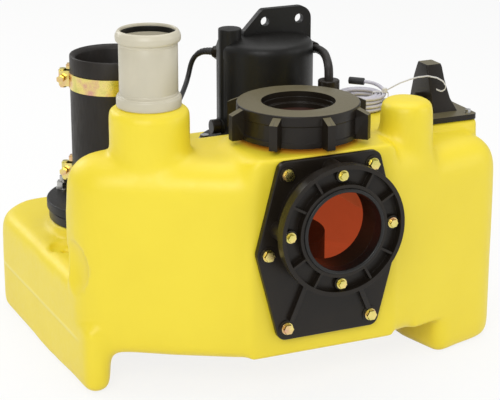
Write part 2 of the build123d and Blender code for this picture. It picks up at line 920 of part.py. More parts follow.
with BuildPart() as inlet_plate_gasket:
    with BuildSketch(front(inlet_x, pad_face_y, inlet_z)):
        with BuildLine():
            FilletPolyline(*plate_points, radius=plate_corner_round, close=True)
        make_face()
        offset(amount=-gasket_inset)
        SlotCenterToCenter(2 * inlet_eccentricity, 2 * opening_half_width, rotation=90,
                           mode=Mode.SUBTRACT)
        with Locations(*plate_screw_places):
            Circle(m8_radius + slip, mode=Mode.SUBTRACT)
    extrude(amount=plate_gasket_thickness)
inlet_plate_gasket.part.label = "inlet_plate_gasket"
export_step(inlet_plate_gasket.part, "parts/inlet_plate_gasket.step")

with BuildPart() as inlet_plate:
    with BuildSketch(front(inlet_x, plate_back_y, inlet_z)):
        with BuildLine():
            FilletPolyline(*plate_points, radius=plate_corner_round, close=True)
        make_face()
    extrude(amount=plate_thickness)
    fillet(inlet_plate.edges().group_by(Axis.Y)[0], radius=plate_edge_round)
    with BuildSketch(front(inlet_x, plate_face_y, inlet_z)):
        with Locations(*plate_screw_places):
            Circle(plate_boss_radius)
    extrude(amount=plate_boss_height)
    with BuildSketch(front(inlet_x, plate_face_y, inlet_z)):
        for side in (-1, 1):
            with BuildLine():
                Polyline(*strip((side * collar_rib_foot_x, -collar_rib_foot_x),
                                (side * plate_screw_x, -plate_screw_z), collar_rib_width), close=True)
            make_face()
    extrude(amount=collar_rib_height)
    with BuildSketch(front(inlet_x, plate_face_y, pipe_z)):
        Circle(collar_radius)
        with PolarLocations(ring_screw_circle_radius, len(ring_angles)):
            Circle(ring_boss_radius)
    extrude(amount=collar_height)
    with BuildSketch(front(inlet_x, plate_back_y, pipe_z)):
        Circle(bore_radius)
    extrude(amount=plate_thickness + collar_height, mode=Mode.SUBTRACT)
    with BuildSketch(front(inlet_x, collar_face_y, pipe_z)):
        with PolarLocations(ring_screw_circle_radius, len(ring_angles)):
            Circle(m6_radius + insert_fit)
    extrude(amount=-ring_screw_grip - screw_end_gap, mode=Mode.SUBTRACT)
    with BuildSketch(front(inlet_x, plate_back_y, inlet_z)):
        with Locations(*plate_screw_places):
            Circle(m8_radius + slip)
    extrude(amount=plate_thickness + plate_boss_height, mode=Mode.SUBTRACT)
    with BuildSketch(front(inlet_x, plate_face_y - plate_boss_height, inlet_z)):
        with Locations(*plate_screw_places):
            Circle(plate_boss_radius)
    extrude(amount=collar_rib_height, mode=Mode.SUBTRACT)
inlet_plate.part.label = "inlet_plate"
export_step(inlet_plate.part, "parts/inlet_plate.step")

with BuildPart() as inlet_plate_screws:
    add(hex_screws(plate_seats, m8_radius, m8_flats, m8_head, m8_washer_radius, m8_washer,
                   plate_depth + insert_length - screw_end_gap))
inlet_plate_screws.part.label = "inlet_plate_screws"
export_step(inlet_plate_screws.part, "parts/inlet_plate_screws.step")

# Clamp ring, pipe seal and ring screws
with BuildPart() as inlet_clamp_ring:
    with BuildSketch(front(inlet_x, collar_face_y, pipe_z)):
        Circle(clamp_radius)
        Circle(clamp_inner_radius, mode=Mode.SUBTRACT)
    extrude(amount=clamp_floor)
    with BuildSketch(front(inlet_x, collar_face_y, pipe_z)):
        Circle(clamp_radius)
        Circle(clamp_radius - clamp_rim, mode=Mode.SUBTRACT)
    extrude(amount=clamp_depth)
    with BuildSketch(front(inlet_x, collar_face_y, pipe_z)):
        Circle(clamp_inner_radius + clamp_inner_rim)
        Circle(clamp_inner_radius, mode=Mode.SUBTRACT)
    extrude(amount=clamp_depth)
    with BuildSketch(front(inlet_x, collar_face_y, pipe_z)):
        for i in range(spoke_count):
            turn = 2 * pi * i / spoke_count
            if i % (spoke_count // len(ring_angles)):
                with BuildLine():
                    Polyline(*strip(
                        (clamp_inner_radius * cos(turn), clamp_inner_radius * sin(turn)),
                        ((clamp_radius - clamp_rim / 2) * cos(turn),
                         (clamp_radius - clamp_rim / 2) * sin(turn)),
                        clamp_rib_width), close=True)
                make_face()
        Circle(clamp_inner_radius, mode=Mode.SUBTRACT)
    extrude(amount=clamp_depth - clamp_rib_setback)
    with BuildSketch(front(inlet_x, collar_face_y, pipe_z)):
        with PolarLocations(ring_screw_circle_radius, len(ring_angles)):
            Circle(clamp_screw_boss_radius)
    extrude(amount=clamp_screw_boss_height)
    with BuildSketch(front(inlet_x, collar_face_y, pipe_z)):
        Circle(seal_flange_radius + slip)
    extrude(amount=seal_flange_thickness + slip, mode=Mode.SUBTRACT)
    with BuildSketch(front(inlet_x, collar_face_y, pipe_z)):
        with PolarLocations(ring_screw_circle_radius, len(ring_angles)):
            Circle(m6_radius + slip)
    extrude(amount=clamp_screw_boss_height, mode=Mode.SUBTRACT)
inlet_clamp_ring.part.label = "inlet_clamp_ring"
export_step(inlet_clamp_ring.part, "parts/inlet_clamp_ring.step")

seal_depth = clamp_depth + seal_lip_proud
with BuildPart() as inlet_pipe_seal:
    with BuildSketch(front(inlet_x, collar_face_y, pipe_z)):
        Circle(seal_flange_radius)
    extrude(amount=seal_flange_thickness)
    with BuildSketch(front(inlet_x, collar_face_y, pipe_z)):
        Circle(clamp_inner_radius - slip)
    extrude(amount=seal_depth)
    with BuildSketch(front(inlet_x, collar_face_y, pipe_z)):
        Circle(bore_radius)
    extrude(amount=seal_depth, mode=Mode.SUBTRACT)
    fillet(inlet_pipe_seal.edges().group_by(Axis.Y)[0], radius=seal_lip_round)
inlet_pipe_seal.part.label = "inlet_pipe_seal"
export_step(inlet_pipe_seal.part, "parts/inlet_pipe_seal.step")

ring_screw_seats = [
    front(inlet_x + ring_screw_circle_radius * cos(radians(a)), collar_face_y - clamp_screw_boss_height,
          pipe_z + ring_screw_circle_radius * sin(radians(a)))
    for a in ring_angles
]
with BuildPart() as inlet_ring_screws:
    add(hex_screws(ring_screw_seats, m6_radius, m6_flats, m6_head, m6_washer_radius, m6_washer,
                   clamp_screw_boss_height + ring_screw_grip))
inlet_ring_screws.part.label = "inlet_ring_screws"
export_step(inlet_ring_screws.part, "parts/inlet_ring_screws.step")

# Top inlet: gasket, adapter and screw ring
with BuildPart() as top_inlet_gasket:
    add(pipe(inlet_x, top_inlet_y, neck_top_z, adapter_seat_z, neck_radius - gasket_inset,
             adapter_socket_radius + adapter_wall + slip))
top_inlet_gasket.part.label = "top_inlet_gasket"
export_step(top_inlet_gasket.part, "parts/top_inlet_gasket.step")

with BuildPart() as top_inlet_adapter:
    add(pipe(inlet_x, top_inlet_y, adapter_seat_z, adapter_top_z, neck_radius - gasket_inset))
    add(pipe(inlet_x, top_inlet_y, adapter_seat_z - adapter_depth, adapter_seat_z,
             adapter_socket_radius + adapter_wall))
    add(pipe(inlet_x, top_inlet_y, adapter_seat_z - adapter_depth, adapter_top_z,
             adapter_ledge_radius), mode=Mode.SUBTRACT)
    add(pipe(inlet_x, top_inlet_y, adapter_top_z - adapter_socket_depth, adapter_top_z,
             adapter_socket_radius), mode=Mode.SUBTRACT)
top_inlet_adapter.part.label = "top_inlet_adapter"
export_step(top_inlet_adapter.part, "parts/top_inlet_adapter.step")

ring_under_z = adapter_top_z + lay
ring_top_z = ring_under_z + screw_ring_top
ring_low_z = ring_under_z - screw_ring_skirt
with BuildPart() as top_screw_ring:
    add(turned(inlet_x, top_inlet_y, [
        (adapter_socket_radius + screw_ring_clearance, ring_under_z),
        (neck_radius + screw_ring_clearance, ring_under_z),
        (neck_radius + screw_ring_clearance, ring_low_z),
        (screw_ring_radius, ring_low_z),
        (screw_ring_radius, ring_low_z + band_margin),
        (screw_ring_radius - band_recess, ring_low_z + band_margin + band_recess),
        (screw_ring_radius - band_recess, ring_under_z - band_margin - band_recess),
        (screw_ring_radius, ring_under_z - band_margin),
        (screw_ring_radius, ring_top_z),
        (adapter_socket_radius + screw_ring_clearance, ring_top_z),
    ], [0, 0, 0, 0, 0, 0, 0, 0, screw_ring_edge, 0]))
    with BuildSketch(level(inlet_x, top_inlet_y, ring_low_z)):
        for i in range(lug_count):
            turn = 2 * pi * i / lug_count
            with BuildLine():
                Polyline(*strip(
                    ((neck_radius + screw_ring_clearance + band_recess) * cos(turn),
                     (neck_radius + screw_ring_clearance + band_recess) * sin(turn)),
                    (lug_radius * cos(turn), lug_radius * sin(turn)), lug_width), close=True)
            make_face()
        Circle(neck_radius + screw_ring_clearance, mode=Mode.SUBTRACT)
    extrude(amount=ring_top_z - lug_top_drop - ring_low_z)
    # Sloped tops of the lugs
    with BuildSketch(front(inlet_x, top_inlet_y, 0)):
        with BuildLine():
            Polyline(
                (screw_ring_radius + lug_top_drop / 2, ring_top_z - lug_top_drop + cut),
                (screw_ring_radius + lug_top_drop / 2, ring_top_z - lug_top_drop),
                (lug_radius, ring_top_z - lug_top_drop - lug_chamfer),
                (lug_radius + cut, ring_top_z - lug_top_drop - lug_chamfer),
                (lug_radius + cut, ring_top_z - lug_top_drop + cut),
                close=True,
            )
        make_face()
    revolve(axis=Axis((inlet_x, top_inlet_y, 0), (0, 0, 1)), mode=Mode.SUBTRACT)
top_screw_ring.part.label = "top_screw_ring"
export_step(top_screw_ring.part, "parts/top_screw_ring.step")

# Vent sleeve and its lip seals
sleeve_bore = vent_pipe_radius + sleeve_clearance
sleeve_outer = sleeve_bore + sleeve_wall
groove_radius = sleeve_bore + groove_depth
stop_low_z = sleeve_low_z + sleeve_length / 2 - sleeve_stop_height / 2
with BuildPart() as vent_sleeve:
    add(turned(vent_x, vent_y, [
        (sleeve_bore, sleeve_low_z),
        (sleeve_collar_radius, sleeve_low_z),
        (sleeve_collar_radius, sleeve_low_z + sleeve_collar_height),
        (sleeve_outer, sleeve_low_z + sleeve_collar_height),
        (sleeve_outer, sleeve_top_z - sleeve_collar_height),
        (sleeve_collar_radius, sleeve_top_z - sleeve_collar_height),
        (sleeve_collar_radius, sleeve_top_z),
        (sleeve_bore, sleeve_top_z),
    ], [0, sleeve_collar_round, sleeve_collar_round, 0, 0, sleeve_collar_round,
        sleeve_collar_round, 0]))
    add(pipe(vent_x, vent_y, sleeve_low_z, stop_low_z, sleeve_bore + sleeve_ease),
        mode=Mode.SUBTRACT)
    add(pipe(vent_x, vent_y, stop_low_z, stop_low_z + sleeve_stop_height, sleeve_outer,
             sleeve_bore - sleeve_stop_depth))
    for low in (sleeve_low_z + groove_margin, sleeve_top_z - groove_margin - groove_height):
        add(pipe(vent_x, vent_y, low, low + groove_height, groove_radius, sleeve_bore),
            mode=Mode.SUBTRACT)
vent_sleeve.part.label = "vent_sleeve"
export_step(vent_sleeve.part, "parts/vent_sleeve.step")

with BuildPart() as vent_sleeve_seals:
    for low in (sleeve_low_z + groove_margin, sleeve_top_z - groove_margin - groove_height):
        add(pipe(vent_x, vent_y, low + slip, low + groove_height - slip, groove_radius - slip,
                 vent_pipe_radius + sleeve_clearance / 2))
vent_sleeve_seals.part.label = "vent_sleeve_seals"
export_step(vent_sleeve_seals.part, "parts/vent_sleeve_seals.step")

# Discharge: valve base, gasket, flap, pin and spigot
stud_places = around(valve_x, valve_y, valve_pad_z, flange_bolt_circle_radius,
                     flange_bolt_count, stud_start_deg)
seat_top_z = valve_face_z + seat_rim_height
pin_z = seat_top_z + lay + flap_knuckle_radius
pin_x = valve_x + flap_pin_offset
lug_inner_y = flap_knuckle_width / 2 + flap_lug_gap
lug_outer_y = lug_inner_y + flap_lug_width
pressure_inner = nozzle_outer + slip
pressure_outer = pressure_inner + pressure_wall
socket_low_z = valve_pad_z - valve_tube_drop
socket_top_z = socket_low_z + pressure_socket
spigot_bore = hose_inner_radius - lay - spigot_wall

with BuildPart() as valve_base:
    add(pipe(valve_x, valve_y, valve_pad_z, valve_face_z, valve_flange_radius))
    add(pipe(valve_x, valve_y, socket_low_z, valve_pad_z, valve_tube_radius))
    add(pipe(valve_x, valve_y, valve_face_z, seat_top_z, valve_bore_radius + seat_rim_width))
    with BuildSketch(front(pin_x, valve_y + lug_outer_y, 0)):
        with BuildLine():
            Line((-flap_lug_radius, pin_z), (-flap_lug_radius, valve_face_z))
            Line((-flap_lug_radius, valve_face_z), (flap_lug_radius, valve_face_z))
            Line((flap_lug_radius, valve_face_z), (flap_lug_radius, pin_z))
            ThreePointArc((flap_lug_radius, pin_z), (0, pin_z + flap_lug_radius),
                          (-flap_lug_radius, pin_z))
        make_face()
    extrude(amount=2 * lug_outer_y)
    with BuildSketch(front(pin_x, valve_y + lug_inner_y, 0)):
        with Locations((0, pin_z)):
            Rectangle(2 * flap_lug_radius + lay, 2 * (pin_z - valve_face_z))
    extrude(amount=2 * lug_inner_y, mode=Mode.SUBTRACT)
    add(pipe(valve_x, valve_y, valve_face_z, seat_top_z, valve_bore_radius + seat_rim_width))
    add(pipe(valve_x, valve_y, socket_low_z, seat_top_z, valve_bore_radius), mode=Mode.SUBTRACT)
    add(pipe(valve_x, valve_y, socket_low_z, socket_top_z, pressure_outer + slip),
        mode=Mode.SUBTRACT)
    add(rods([p.offset(valve_flange_thickness) for p in stud_places], m12_radius + slip,
             valve_flange_thickness), mode=Mode.SUBTRACT)
    with BuildSketch(front(pin_x, valve_y + lug_outer_y, pin_z)):
        Circle(flap_pin_radius)
    extrude(amount=2 * lug_outer_y, mode=Mode.SUBTRACT)
valve_base.part.label = "valve_base"
export_step(valve_base.part, "parts/valve_base.step")

with BuildPart() as valve_gasket:
    with BuildSketch(level(valve_x, valve_y, valve_face_z)):
        Circle(valve_flange_radius - gasket_inset)
        Circle(spigot_bore + gasket_inset, mode=Mode.SUBTRACT)
        with PolarLocations(flange_bolt_circle_radius, flange_bolt_count, stud_start_deg):
            Circle(m12_radius + slip, mode=Mode.SUBTRACT)
    extrude(amount=valve_gasket_thickness)
valve_gasket.part.label = "valve_gasket"
export_step(valve_gasket.part, "parts/valve_gasket.step")

with BuildPart() as valve_flap:
    add(pipe(valve_x, valve_y, seat_top_z + lay, seat_top_z + lay + flap_thickness, flap_radius))
    with BuildSketch(level(pin_x - flap_arm_length / 2, valve_y, seat_top_z + lay)):
        Rectangle(flap_arm_length, flap_knuckle_width)
    extrude(amount=flap_thickness + flap_pin_radius)
    with BuildSketch(front(pin_x, valve_y + flap_knuckle_width / 2, pin_z)):
        Circle(flap_knuckle_radius)
    extrude(amount=flap_knuckle_width)
    with BuildSketch(front(pin_x, valve_y + flap_knuckle_width / 2, pin_z)):
        Circle(flap_pin_radius + running)
    extrude(amount=flap_knuckle_width, mode=Mode.SUBTRACT)
valve_flap.part.label = "valve_flap"
export_step(valve_flap.part, "parts/valve_flap.step")

with BuildPart() as flap_pin:
    with BuildSketch(front(pin_x, valve_y + lug_outer_y, pin_z)):
        Circle(flap_pin_radius)
    extrude(amount=2 * lug_outer_y)
flap_pin.part.label = "flap_pin"
export_step(flap_pin.part, "parts/flap_pin.step")

with BuildPart() as discharge_spigot:
    add(pipe(valve_x, valve_y, spigot_seat_z, spigot_face_z, spigot_flange_radius))
    fillet(discharge_spigot.edges().group_by(Axis.Z)[-1], radius=flange_edge_round)
    add(pipe(valve_x, valve_y, spigot_face_z, spigot_face_z + spigot_hub_height,
             spigot_hub_radius))
    add(pipe(valve_x, valve_y, spigot_face_z, spigot_face_z + spigot_height,
             spigot_bore + spigot_wall))
    add(pipe(valve_x, valve_y, spigot_seat_z, spigot_face_z + spigot_height, spigot_bore),
        mode=Mode.SUBTRACT)
    add(rods([p.offset(spigot_face_z - valve_pad_z) for p in stud_places], m12_radius + slip,
             spigot_flange_thickness), mode=Mode.SUBTRACT)
discharge_spigot.part.label = "discharge_spigot"
export_step(discharge_spigot.part, "parts/discharge_spigot.step")

nut_seat = spigot_face_z - valve_pad_z + m12_washer
with BuildPart() as flange_studs:
    add(rods([p.offset(nut_seat + m12_nut + stud_end) for p in stud_places], m12_radius,
             nut_seat + m12_nut + stud_end + stud_root - slip))
flange_studs.part.label = "flange_studs"
export_step(flange_studs.part, "parts/flange_studs.step")

with BuildPart() as flange_washers:
    add(rods([p.offset(nut_seat) for p in stud_places], m12_washer_radius, m12_washer))
    add(rods([p.offset(nut_seat) for p in stud_places], m12_radius + slip, m12_washer),
        mode=Mode.SUBTRACT)
flange_washers.part.label = "flange_washers"
export_step(flange_washers.part, "parts/flange_washers.step")

with BuildPart() as flange_nuts:
    for place in stud_places:
        with BuildSketch(place.offset(nut_seat)):
            RegularPolygon(m12_flats / 2, 6, major_radius=False)
            Circle(m12_radius + insert_fit, mode=Mode.SUBTRACT)
        extrude(amount=m12_nut)
flange_nuts.part.label = "flange_nuts"
export_step(flange_nuts.part, "parts/flange_nuts.step")

# Pressure hose and its bolt clamps
hose_low_z = spigot_face_z + spigot_hub_height + lay
hose_outer = hose_inner_radius + hose_wall
hose_stop_low_z = spigot_face_z + spigot_height + hose_step_height
hose_stop_top_z = hose_stop_low_z + hose_stop_height
with BuildPart() as pressure_hose:
    add(pipe(valve_x, valve_y, hose_low_z, hose_top_z, hose_outer,
             spigot_bore + spigot_wall + hose_spigot_clearance))
    add(pipe(valve_x, valve_y, hose_stop_top_z, hose_top_z, hose_inner_radius), mode=Mode.SUBTRACT)
    add(pipe(valve_x, valve_y, hose_stop_low_z, hose_stop_top_z, hose_outer,
             hose_inner_radius - hose_stop_depth))
    fillet(pressure_hose.edges().group_by(Axis.Z)[-1], radius=hose_edge_round)
pressure_hose.part.label = "pressure_hose"
export_step(pressure_hose.part, "parts/pressure_hose.step")

band_inner = hose_outer + slip
band_outer = band_inner + clamp_band_thickness
trunnion_x = hose_outer + trunnion_out
clamp_turn = radians(clamp_angle_deg)
clamp_x_dir = (cos(clamp_turn), sin(clamp_turn), 0)
clamp_y_dir = (-sin(clamp_turn), cos(clamp_turn), 0)


def clamp_plane(z):
    """Level plane at the hose axis with its X towards the clamp bolt."""
    return Plane(origin=(valve_x, valve_y, z), x_dir=clamp_x_dir, z_dir=(0, 0, 1))


def clamp_bolt_plane(z):
    """Plane across the clamp bolt, at its middle."""
    return Plane(
        origin=(valve_x + trunnion_x * cos(clamp_turn), valve_y + trunnion_x * sin(clamp_turn), z),
        x_dir=(0, 0, 1),
        z_dir=clamp_y_dir,
    )


bolt_half = trunnion_half_spread + trunnion_radius + clamp_band_thickness + clamp_bolt_radius
with BuildPart() as hose_clamps:
    for low in (clamp_low_z, clamp_high_z):
        with BuildSketch(clamp_plane(low)):
            Circle(band_outer)
            for side in (-1, 1):
                with Locations((trunnion_x, side * trunnion_half_spread)):
                    Circle(trunnion_radius + slip + clamp_band_thickness)
                with Locations(((trunnion_x + band_inner - trunnion_radius) / 2,
                                side * trunnion_half_spread)):
                    Rectangle(trunnion_x - band_inner + trunnion_radius,
                              2 * (trunnion_radius + slip + clamp_band_thickness))
            for side in (-1, 1):
                with Locations((trunnion_x, side * trunnion_half_spread)):
                    Circle(trunnion_radius + slip, mode=Mode.SUBTRACT)
                with Locations(((trunnion_x + band_inner - trunnion_radius) / 2,
                                side * trunnion_half_spread)):
                    Rectangle(trunnion_x - band_inner + trunnion_radius,
                              2 * (trunnion_radius + slip), mode=Mode.SUBTRACT)
            Circle(band_inner, mode=Mode.SUBTRACT)
            with Locations((band_outer, 0)):
                Rectangle(2 * trunnion_out, 2 * (trunnion_half_spread - trunnion_radius - slip
                                                 - clamp_band_thickness), mode=Mode.SUBTRACT)
        extrude(amount=clamp_band_width)
    for low in (clamp_low_z, clamp_high_z):
        with BuildSketch(clamp_bolt_plane(low + clamp_band_width / 2)):
            Circle(clamp_bolt_radius + lay)
        extrude(amount=bolt_half, both=True, mode=Mode.SUBTRACT)
hose_clamps.part.label = "hose_clamps"
export_step(hose_clamps.part, "parts/hose_clamps.step")

with BuildPart() as clamp_bolts:
    for low in (clamp_low_z, clamp_high_z):
        with BuildSketch(clamp_plane(low - trunnion_proud)):
            with Locations((trunnion_x, -trunnion_half_spread), (trunnion_x, trunnion_half_spread)):
                Circle(trunnion_radius)
        extrude(amount=clamp_band_width + 2 * trunnion_proud)
        with BuildSketch(clamp_bolt_plane(low + clamp_band_width / 2)):
            Circle(clamp_bolt_radius)
        extrude(amount=bolt_half, both=True)
        with BuildSketch(clamp_bolt_plane(low + clamp_band_width / 2).offset(bolt_half)):
            RegularPolygon(m6_flats / 2, 6, major_radius=False)
        extrude(amount=clamp_bolt_head)
clamp_bolts.part.label = "clamp_bolts"
export_step(clamp_bolts.part, "parts/clamp_bolts.step")

# Pump flange with its gasket and screws
pump_seats = around(0, 0, pump_face_z, pump_screw_circle_radius, pump_screw_count,
                    pump_screw_start_deg)
housing_seats = around(0, 0, pump_face_z + motor_foot, (motor_radius + motor_foot_radius) / 2,
                       housing_screw_count, 180 / housing_screw_count)
bearing_seat_z = pump_face_z - bearing_width
upper_bearing_low_z = shaft_top_z - bearing_width
with BuildPart() as pump_flange_gasket:
    add(pipe(0, 0, block_top_z, pump_seat_z, pump_flange_radius - gasket_inset,
             pump_opening_radius))
    add(rods([p.offset(-pump_flange_thickness) for p in pump_seats], m8_radius + slip,
             pump_gasket_thickness), mode=Mode.SUBTRACT)
pump_flange_gasket.part.label = "pump_flange_gasket"
export_step(pump_flange_gasket.part, "parts/pump_flange_gasket.step")

with BuildPart() as pump_flange:
    add(pipe(0, 0, pump_seat_z, pump_face_z, pump_flange_radius))
    fillet(pump_flange.edges().group_by(Axis.Z)[-1], radius=flange_edge_round)
    add(pipe(0, 0, pump_seat_z - pump_spigot_drop, pump_seat_z, pump_opening_radius - slip,
             pump_opening_radius - slip - pump_spigot_wall))
    add(pipe(0, 0, pump_seat_z - pump_hub_drop, pump_seat_z, pump_hub_radius))
    add(pipe(0, 0, pump_seat_z - pump_hub_drop, pump_face_z, shaft_radius + shaft_passage),
        mode=Mode.SUBTRACT)
    add(pipe(0, 0, bearing_seat_z, pump_face_z, lower_bearing_radius), mode=Mode.SUBTRACT)
    add(rods(pump_seats, m8_radius + slip, pump_flange_thickness), mode=Mode.SUBTRACT)
    add(rods([p.offset(-motor_foot) for p in housing_seats], m5_radius + insert_fit,
             pump_flange_thickness), mode=Mode.SUBTRACT)
pump_flange.part.label = "pump_flange"
export_step(pump_flange.part, "parts/pump_flange.step")

with BuildPart() as pump_flange_screws:
    add(hex_screws(pump_seats, m8_radius, m8_flats, m8_head, m8_washer_radius, m8_washer,
                   pump_face_z - block_top_z + insert_length - screw_end_gap))
pump_flange_screws.part.label = "pump_flange_screws"
export_step(pump_flange_screws.part, "parts/pump_flange_screws.step")

# Motor housing with its cable duct and lifting lug
with BuildPart() as motor_housing:
    add(turned(0, 0, [
        (0, pump_face_z),
        (motor_foot_radius, pump_face_z),
        (motor_foot_radius, pump_face_z + motor_foot),
        (motor_radius, pump_face_z + motor_foot),
        (motor_radius, motor_side_top_z),
        (motor_dome_radius, motor_dome_z),
        (motor_crown_radius, motor_crown_z),
        (0, motor_crown_z),
    ], [0, 0, flange_edge_round, 0, motor_dome_round, motor_dome_round, motor_dome_round, 0]))
    add(pipe(duct_x, 0, pump_face_z + motor_foot, duct_top_z, duct_radius))
    fillet(motor_housing.edges().group_by(Axis.Z)[-1], radius=duct_round)
    with BuildSketch(front(0, lug_plate_thickness / 2, 0)):
        with BuildLine():
            FilletPolyline(
                (lug_slope_x, lug_plate_low_z),
                (lug_slope_x, lug_slope_z),
                (lug_top_x, lug_plate_top_z),
                (lug_right_x, lug_plate_top_z),
                (lug_right_x, lug_plate_low_z),
                radius=[lug_slope_round, lug_slope_round, lug_corner_round],
            )
            Line((lug_right_x, lug_plate_low_z), (lug_slope_x, lug_plate_low_z))
        make_face()
        with Locations((lug_hole_left_x, lug_hole_z), (lug_hole_right_x, lug_hole_z)):
            Circle(lug_hole_radius, mode=Mode.SUBTRACT)
    extrude(amount=lug_plate_thickness)
    with BuildSketch(Plane(origin=(-motor_radius - oil_boss_out, 0, oil_plug_z), x_dir=(0, 1, 0),
                           z_dir=(1, 0, 0))):
        Circle(oil_boss_radius)
    extrude(amount=oil_boss_out + motor_wall)
    add(turned(0, 0, [
        (0, pump_face_z),
        (motor_radius - motor_wall, pump_face_z),
        (motor_radius - motor_wall, motor_side_top_z - motor_wall),
        (motor_dome_radius - motor_wall, motor_dome_z - motor_wall),
        (motor_crown_radius - motor_wall, motor_crown_z - motor_wall),
        (0, motor_crown_z - motor_wall),
    ]), mode=Mode.SUBTRACT)
    add(pipe(0, 0, upper_bearing_low_z, motor_crown_z - motor_wall,
             upper_bearing_radius + bearing_seat_wall))
    add(pipe(0, 0, upper_bearing_low_z, shaft_top_z + lay, upper_bearing_radius),
        mode=Mode.SUBTRACT)
    add(rods(housing_seats, m5_radius + slip, motor_foot), mode=Mode.SUBTRACT)
    with BuildSketch(Plane(origin=(-motor_radius - oil_boss_out, 0, oil_plug_z), x_dir=(0, 1, 0),
                           z_dir=(1, 0, 0))):
        Circle(oil_shank_radius + slip)
    extrude(amount=oil_boss_out + 2 * motor_wall, mode=Mode.SUBTRACT)
motor_housing.part.label = "motor_housing"
export_step(motor_housing.part, "parts/motor_housing.step")

with BuildPart() as housing_screws:
    add(hex_screws(housing_seats, m5_radius, m5_flats, m5_head, m5_washer_radius, m5_washer,
                   motor_foot + pump_flange_thickness - screw_end_gap))
housing_screws.part.label = "housing_screws"
export_step(housing_screws.part, "parts/housing_screws.step")

with BuildPart() as oil_plug:
    with BuildSketch(Plane(origin=(-motor_radius - oil_boss_out, 0, oil_plug_z), x_dir=(0, 1, 0),
                           z_dir=(-1, 0, 0))):
        Circle(oil_plug_radius)
    extrude(amount=oil_plug_length)
    fillet(oil_plug.edges().group_by(Axis.X)[0], radius=oil_plug_round)
    with BuildSketch(Plane(origin=(-motor_radius - oil_boss_out, 0, oil_plug_z), x_dir=(0, 1, 0),
                           z_dir=(1, 0, 0))):
        Circle(oil_shank_radius)
    extrude(amount=oil_boss_out + motor_wall)
oil_plug.part.label = "oil_plug"
export_step(oil_plug.part, "parts/oil_plug.step")

# Motor inside
stator_outer = motor_radius - motor_wall - stator_fit
stator_top_z = stator_low_z + stator_height
with BuildPart() as stator_core:
    add(pipe(0, 0, stator_low_z, stator_top_z, stator_outer, stator_bore_radius))
stator_core.part.label = "stator_core"
export_step(stator_core.part, "parts/stator_core.step")

with BuildPart() as stator_windings:
    for low in (stator_low_z - winding_height, stator_top_z):
        add(turned(0, 0, [
            (winding_inner_radius, low),
            (winding_inner_radius + winding_wall, low),
            (winding_inner_radius + winding_wall, low + winding_height),
            (winding_inner_radius, low + winding_height),
        ], [winding_round] * 4))
stator_windings.part.label = "stator_windings"
export_step(stator_windings.part, "parts/stator_windings.step")

with BuildPart() as rotor_shaft:
    add(pipe(0, 0, shaft_low_z, shaft_top_z, shaft_radius))
    add(pipe(0, 0, shaft_low_z, shaft_low_z + impeller_screw_grip, m6_radius + insert_fit),
        mode=Mode.SUBTRACT)
rotor_shaft.part.label = "rotor_shaft"
export_step(rotor_shaft.part, "parts/rotor_shaft.step")

with BuildPart() as rotor_core:
    add(pipe(0, 0, stator_low_z, stator_top_z, stator_bore_radius - rotor_gap,
             shaft_radius + rotor_fit))
rotor_core.part.label = "rotor_core"
export_step(rotor_core.part, "parts/rotor_core.step")

with BuildPart() as upper_bearing:
    add(pipe(0, 0, upper_bearing_low_z, shaft_top_z, upper_bearing_radius,
             shaft_radius + running))
upper_bearing.part.label = "upper_bearing"
export_step(upper_bearing.part, "parts/upper_bearing.step")

with BuildPart() as lower_bearing:
    add(pipe(0, 0, bearing_seat_z, pump_face_z, lower_bearing_radius, shaft_radius + running))
lower_bearing.part.label = "lower_bearing"
export_step(lower_bearing.part, "parts/lower_bearing.step")

# Column, oil chamber and shaft seals
oil_chamber_top_z = oil_chamber_low_z + oil_chamber_height
with BuildPart() as pump_column:
    add(pipe(0, 0, oil_chamber_top_z, pump_seat_z, column_tube_radius,
             column_tube_radius - column_tube_wall))
pump_column.part.label = "pump_column"
export_step(pump_column.part, "parts/pump_column.step")

with BuildPart() as oil_chamber:
    add(pipe(0, 0, oil_chamber_low_z, oil_chamber_top_z, oil_chamber_radius))
    add(pipe(0, 0, oil_chamber_low_z + oil_chamber_wall, oil_chamber_top_z - oil_chamber_wall,
             oil_chamber_radius - oil_chamber_wall), mode=Mode.SUBTRACT)
    add(pipe(0, 0, oil_chamber_low_z, oil_chamber_top_z, seal_ring_radius), mode=Mode.SUBTRACT)
oil_chamber.part.label = "oil_chamber"
export_step(oil_chamber.part, "parts/oil_chamber.step")

with BuildPart() as shaft_seals:
    for low in (oil_chamber_low_z, oil_chamber_top_z - seal_ring_height):
        add(pipe(0, 0, low, low + seal_ring_height, seal_ring_radius, shaft_radius + running))
shaft_seals.part.label = "shaft_seals"
export_step(shaft_seals.part, "parts/shaft_seals.step")

# Volute, suction plate and impeller
volute_top_z = volute_low_z + volute_height
roof_low_z = volute_top_z - volute_roof
nozzle_end_x = -volute_radius - nozzle_length
side_plane = Plane(origin=(0, nozzle_y, nozzle_z), x_dir=(0, 1, 0), z_dir=(-1, 0, 0))
suction_seats = [
    Plane(origin=(p.origin.X, p.origin.Y, p.origin.Z), x_dir=(1, 0, 0), z_dir=(0, 0, -1))
    for p in around(0, 0, volute_low_z - suction_plate_thickness, volute_radius - volute_wall / 2,
                    suction_screw_count)
]
with BuildPart() as volute:
    add(pipe(0, 0, volute_low_z, volute_top_z, volute_radius))
    with BuildSketch(side_plane):
        Circle(nozzle_outer)
    extrude(amount=-nozzle_end_x)
    add(pipe(0, 0, volute_low_z, roof_low_z, volute_radius - volute_wall), mode=Mode.SUBTRACT)
    with BuildSketch(side_plane):
        Circle(nozzle_outer - nozzle_wall)
    extrude(amount=-nozzle_end_x, mode=Mode.SUBTRACT)
    add(pipe(0, 0, roof_low_z, volute_top_z, impeller_hub_radius), mode=Mode.SUBTRACT)
volute.part.label = "volute"
export_step(volute.part, "parts/volute.step")

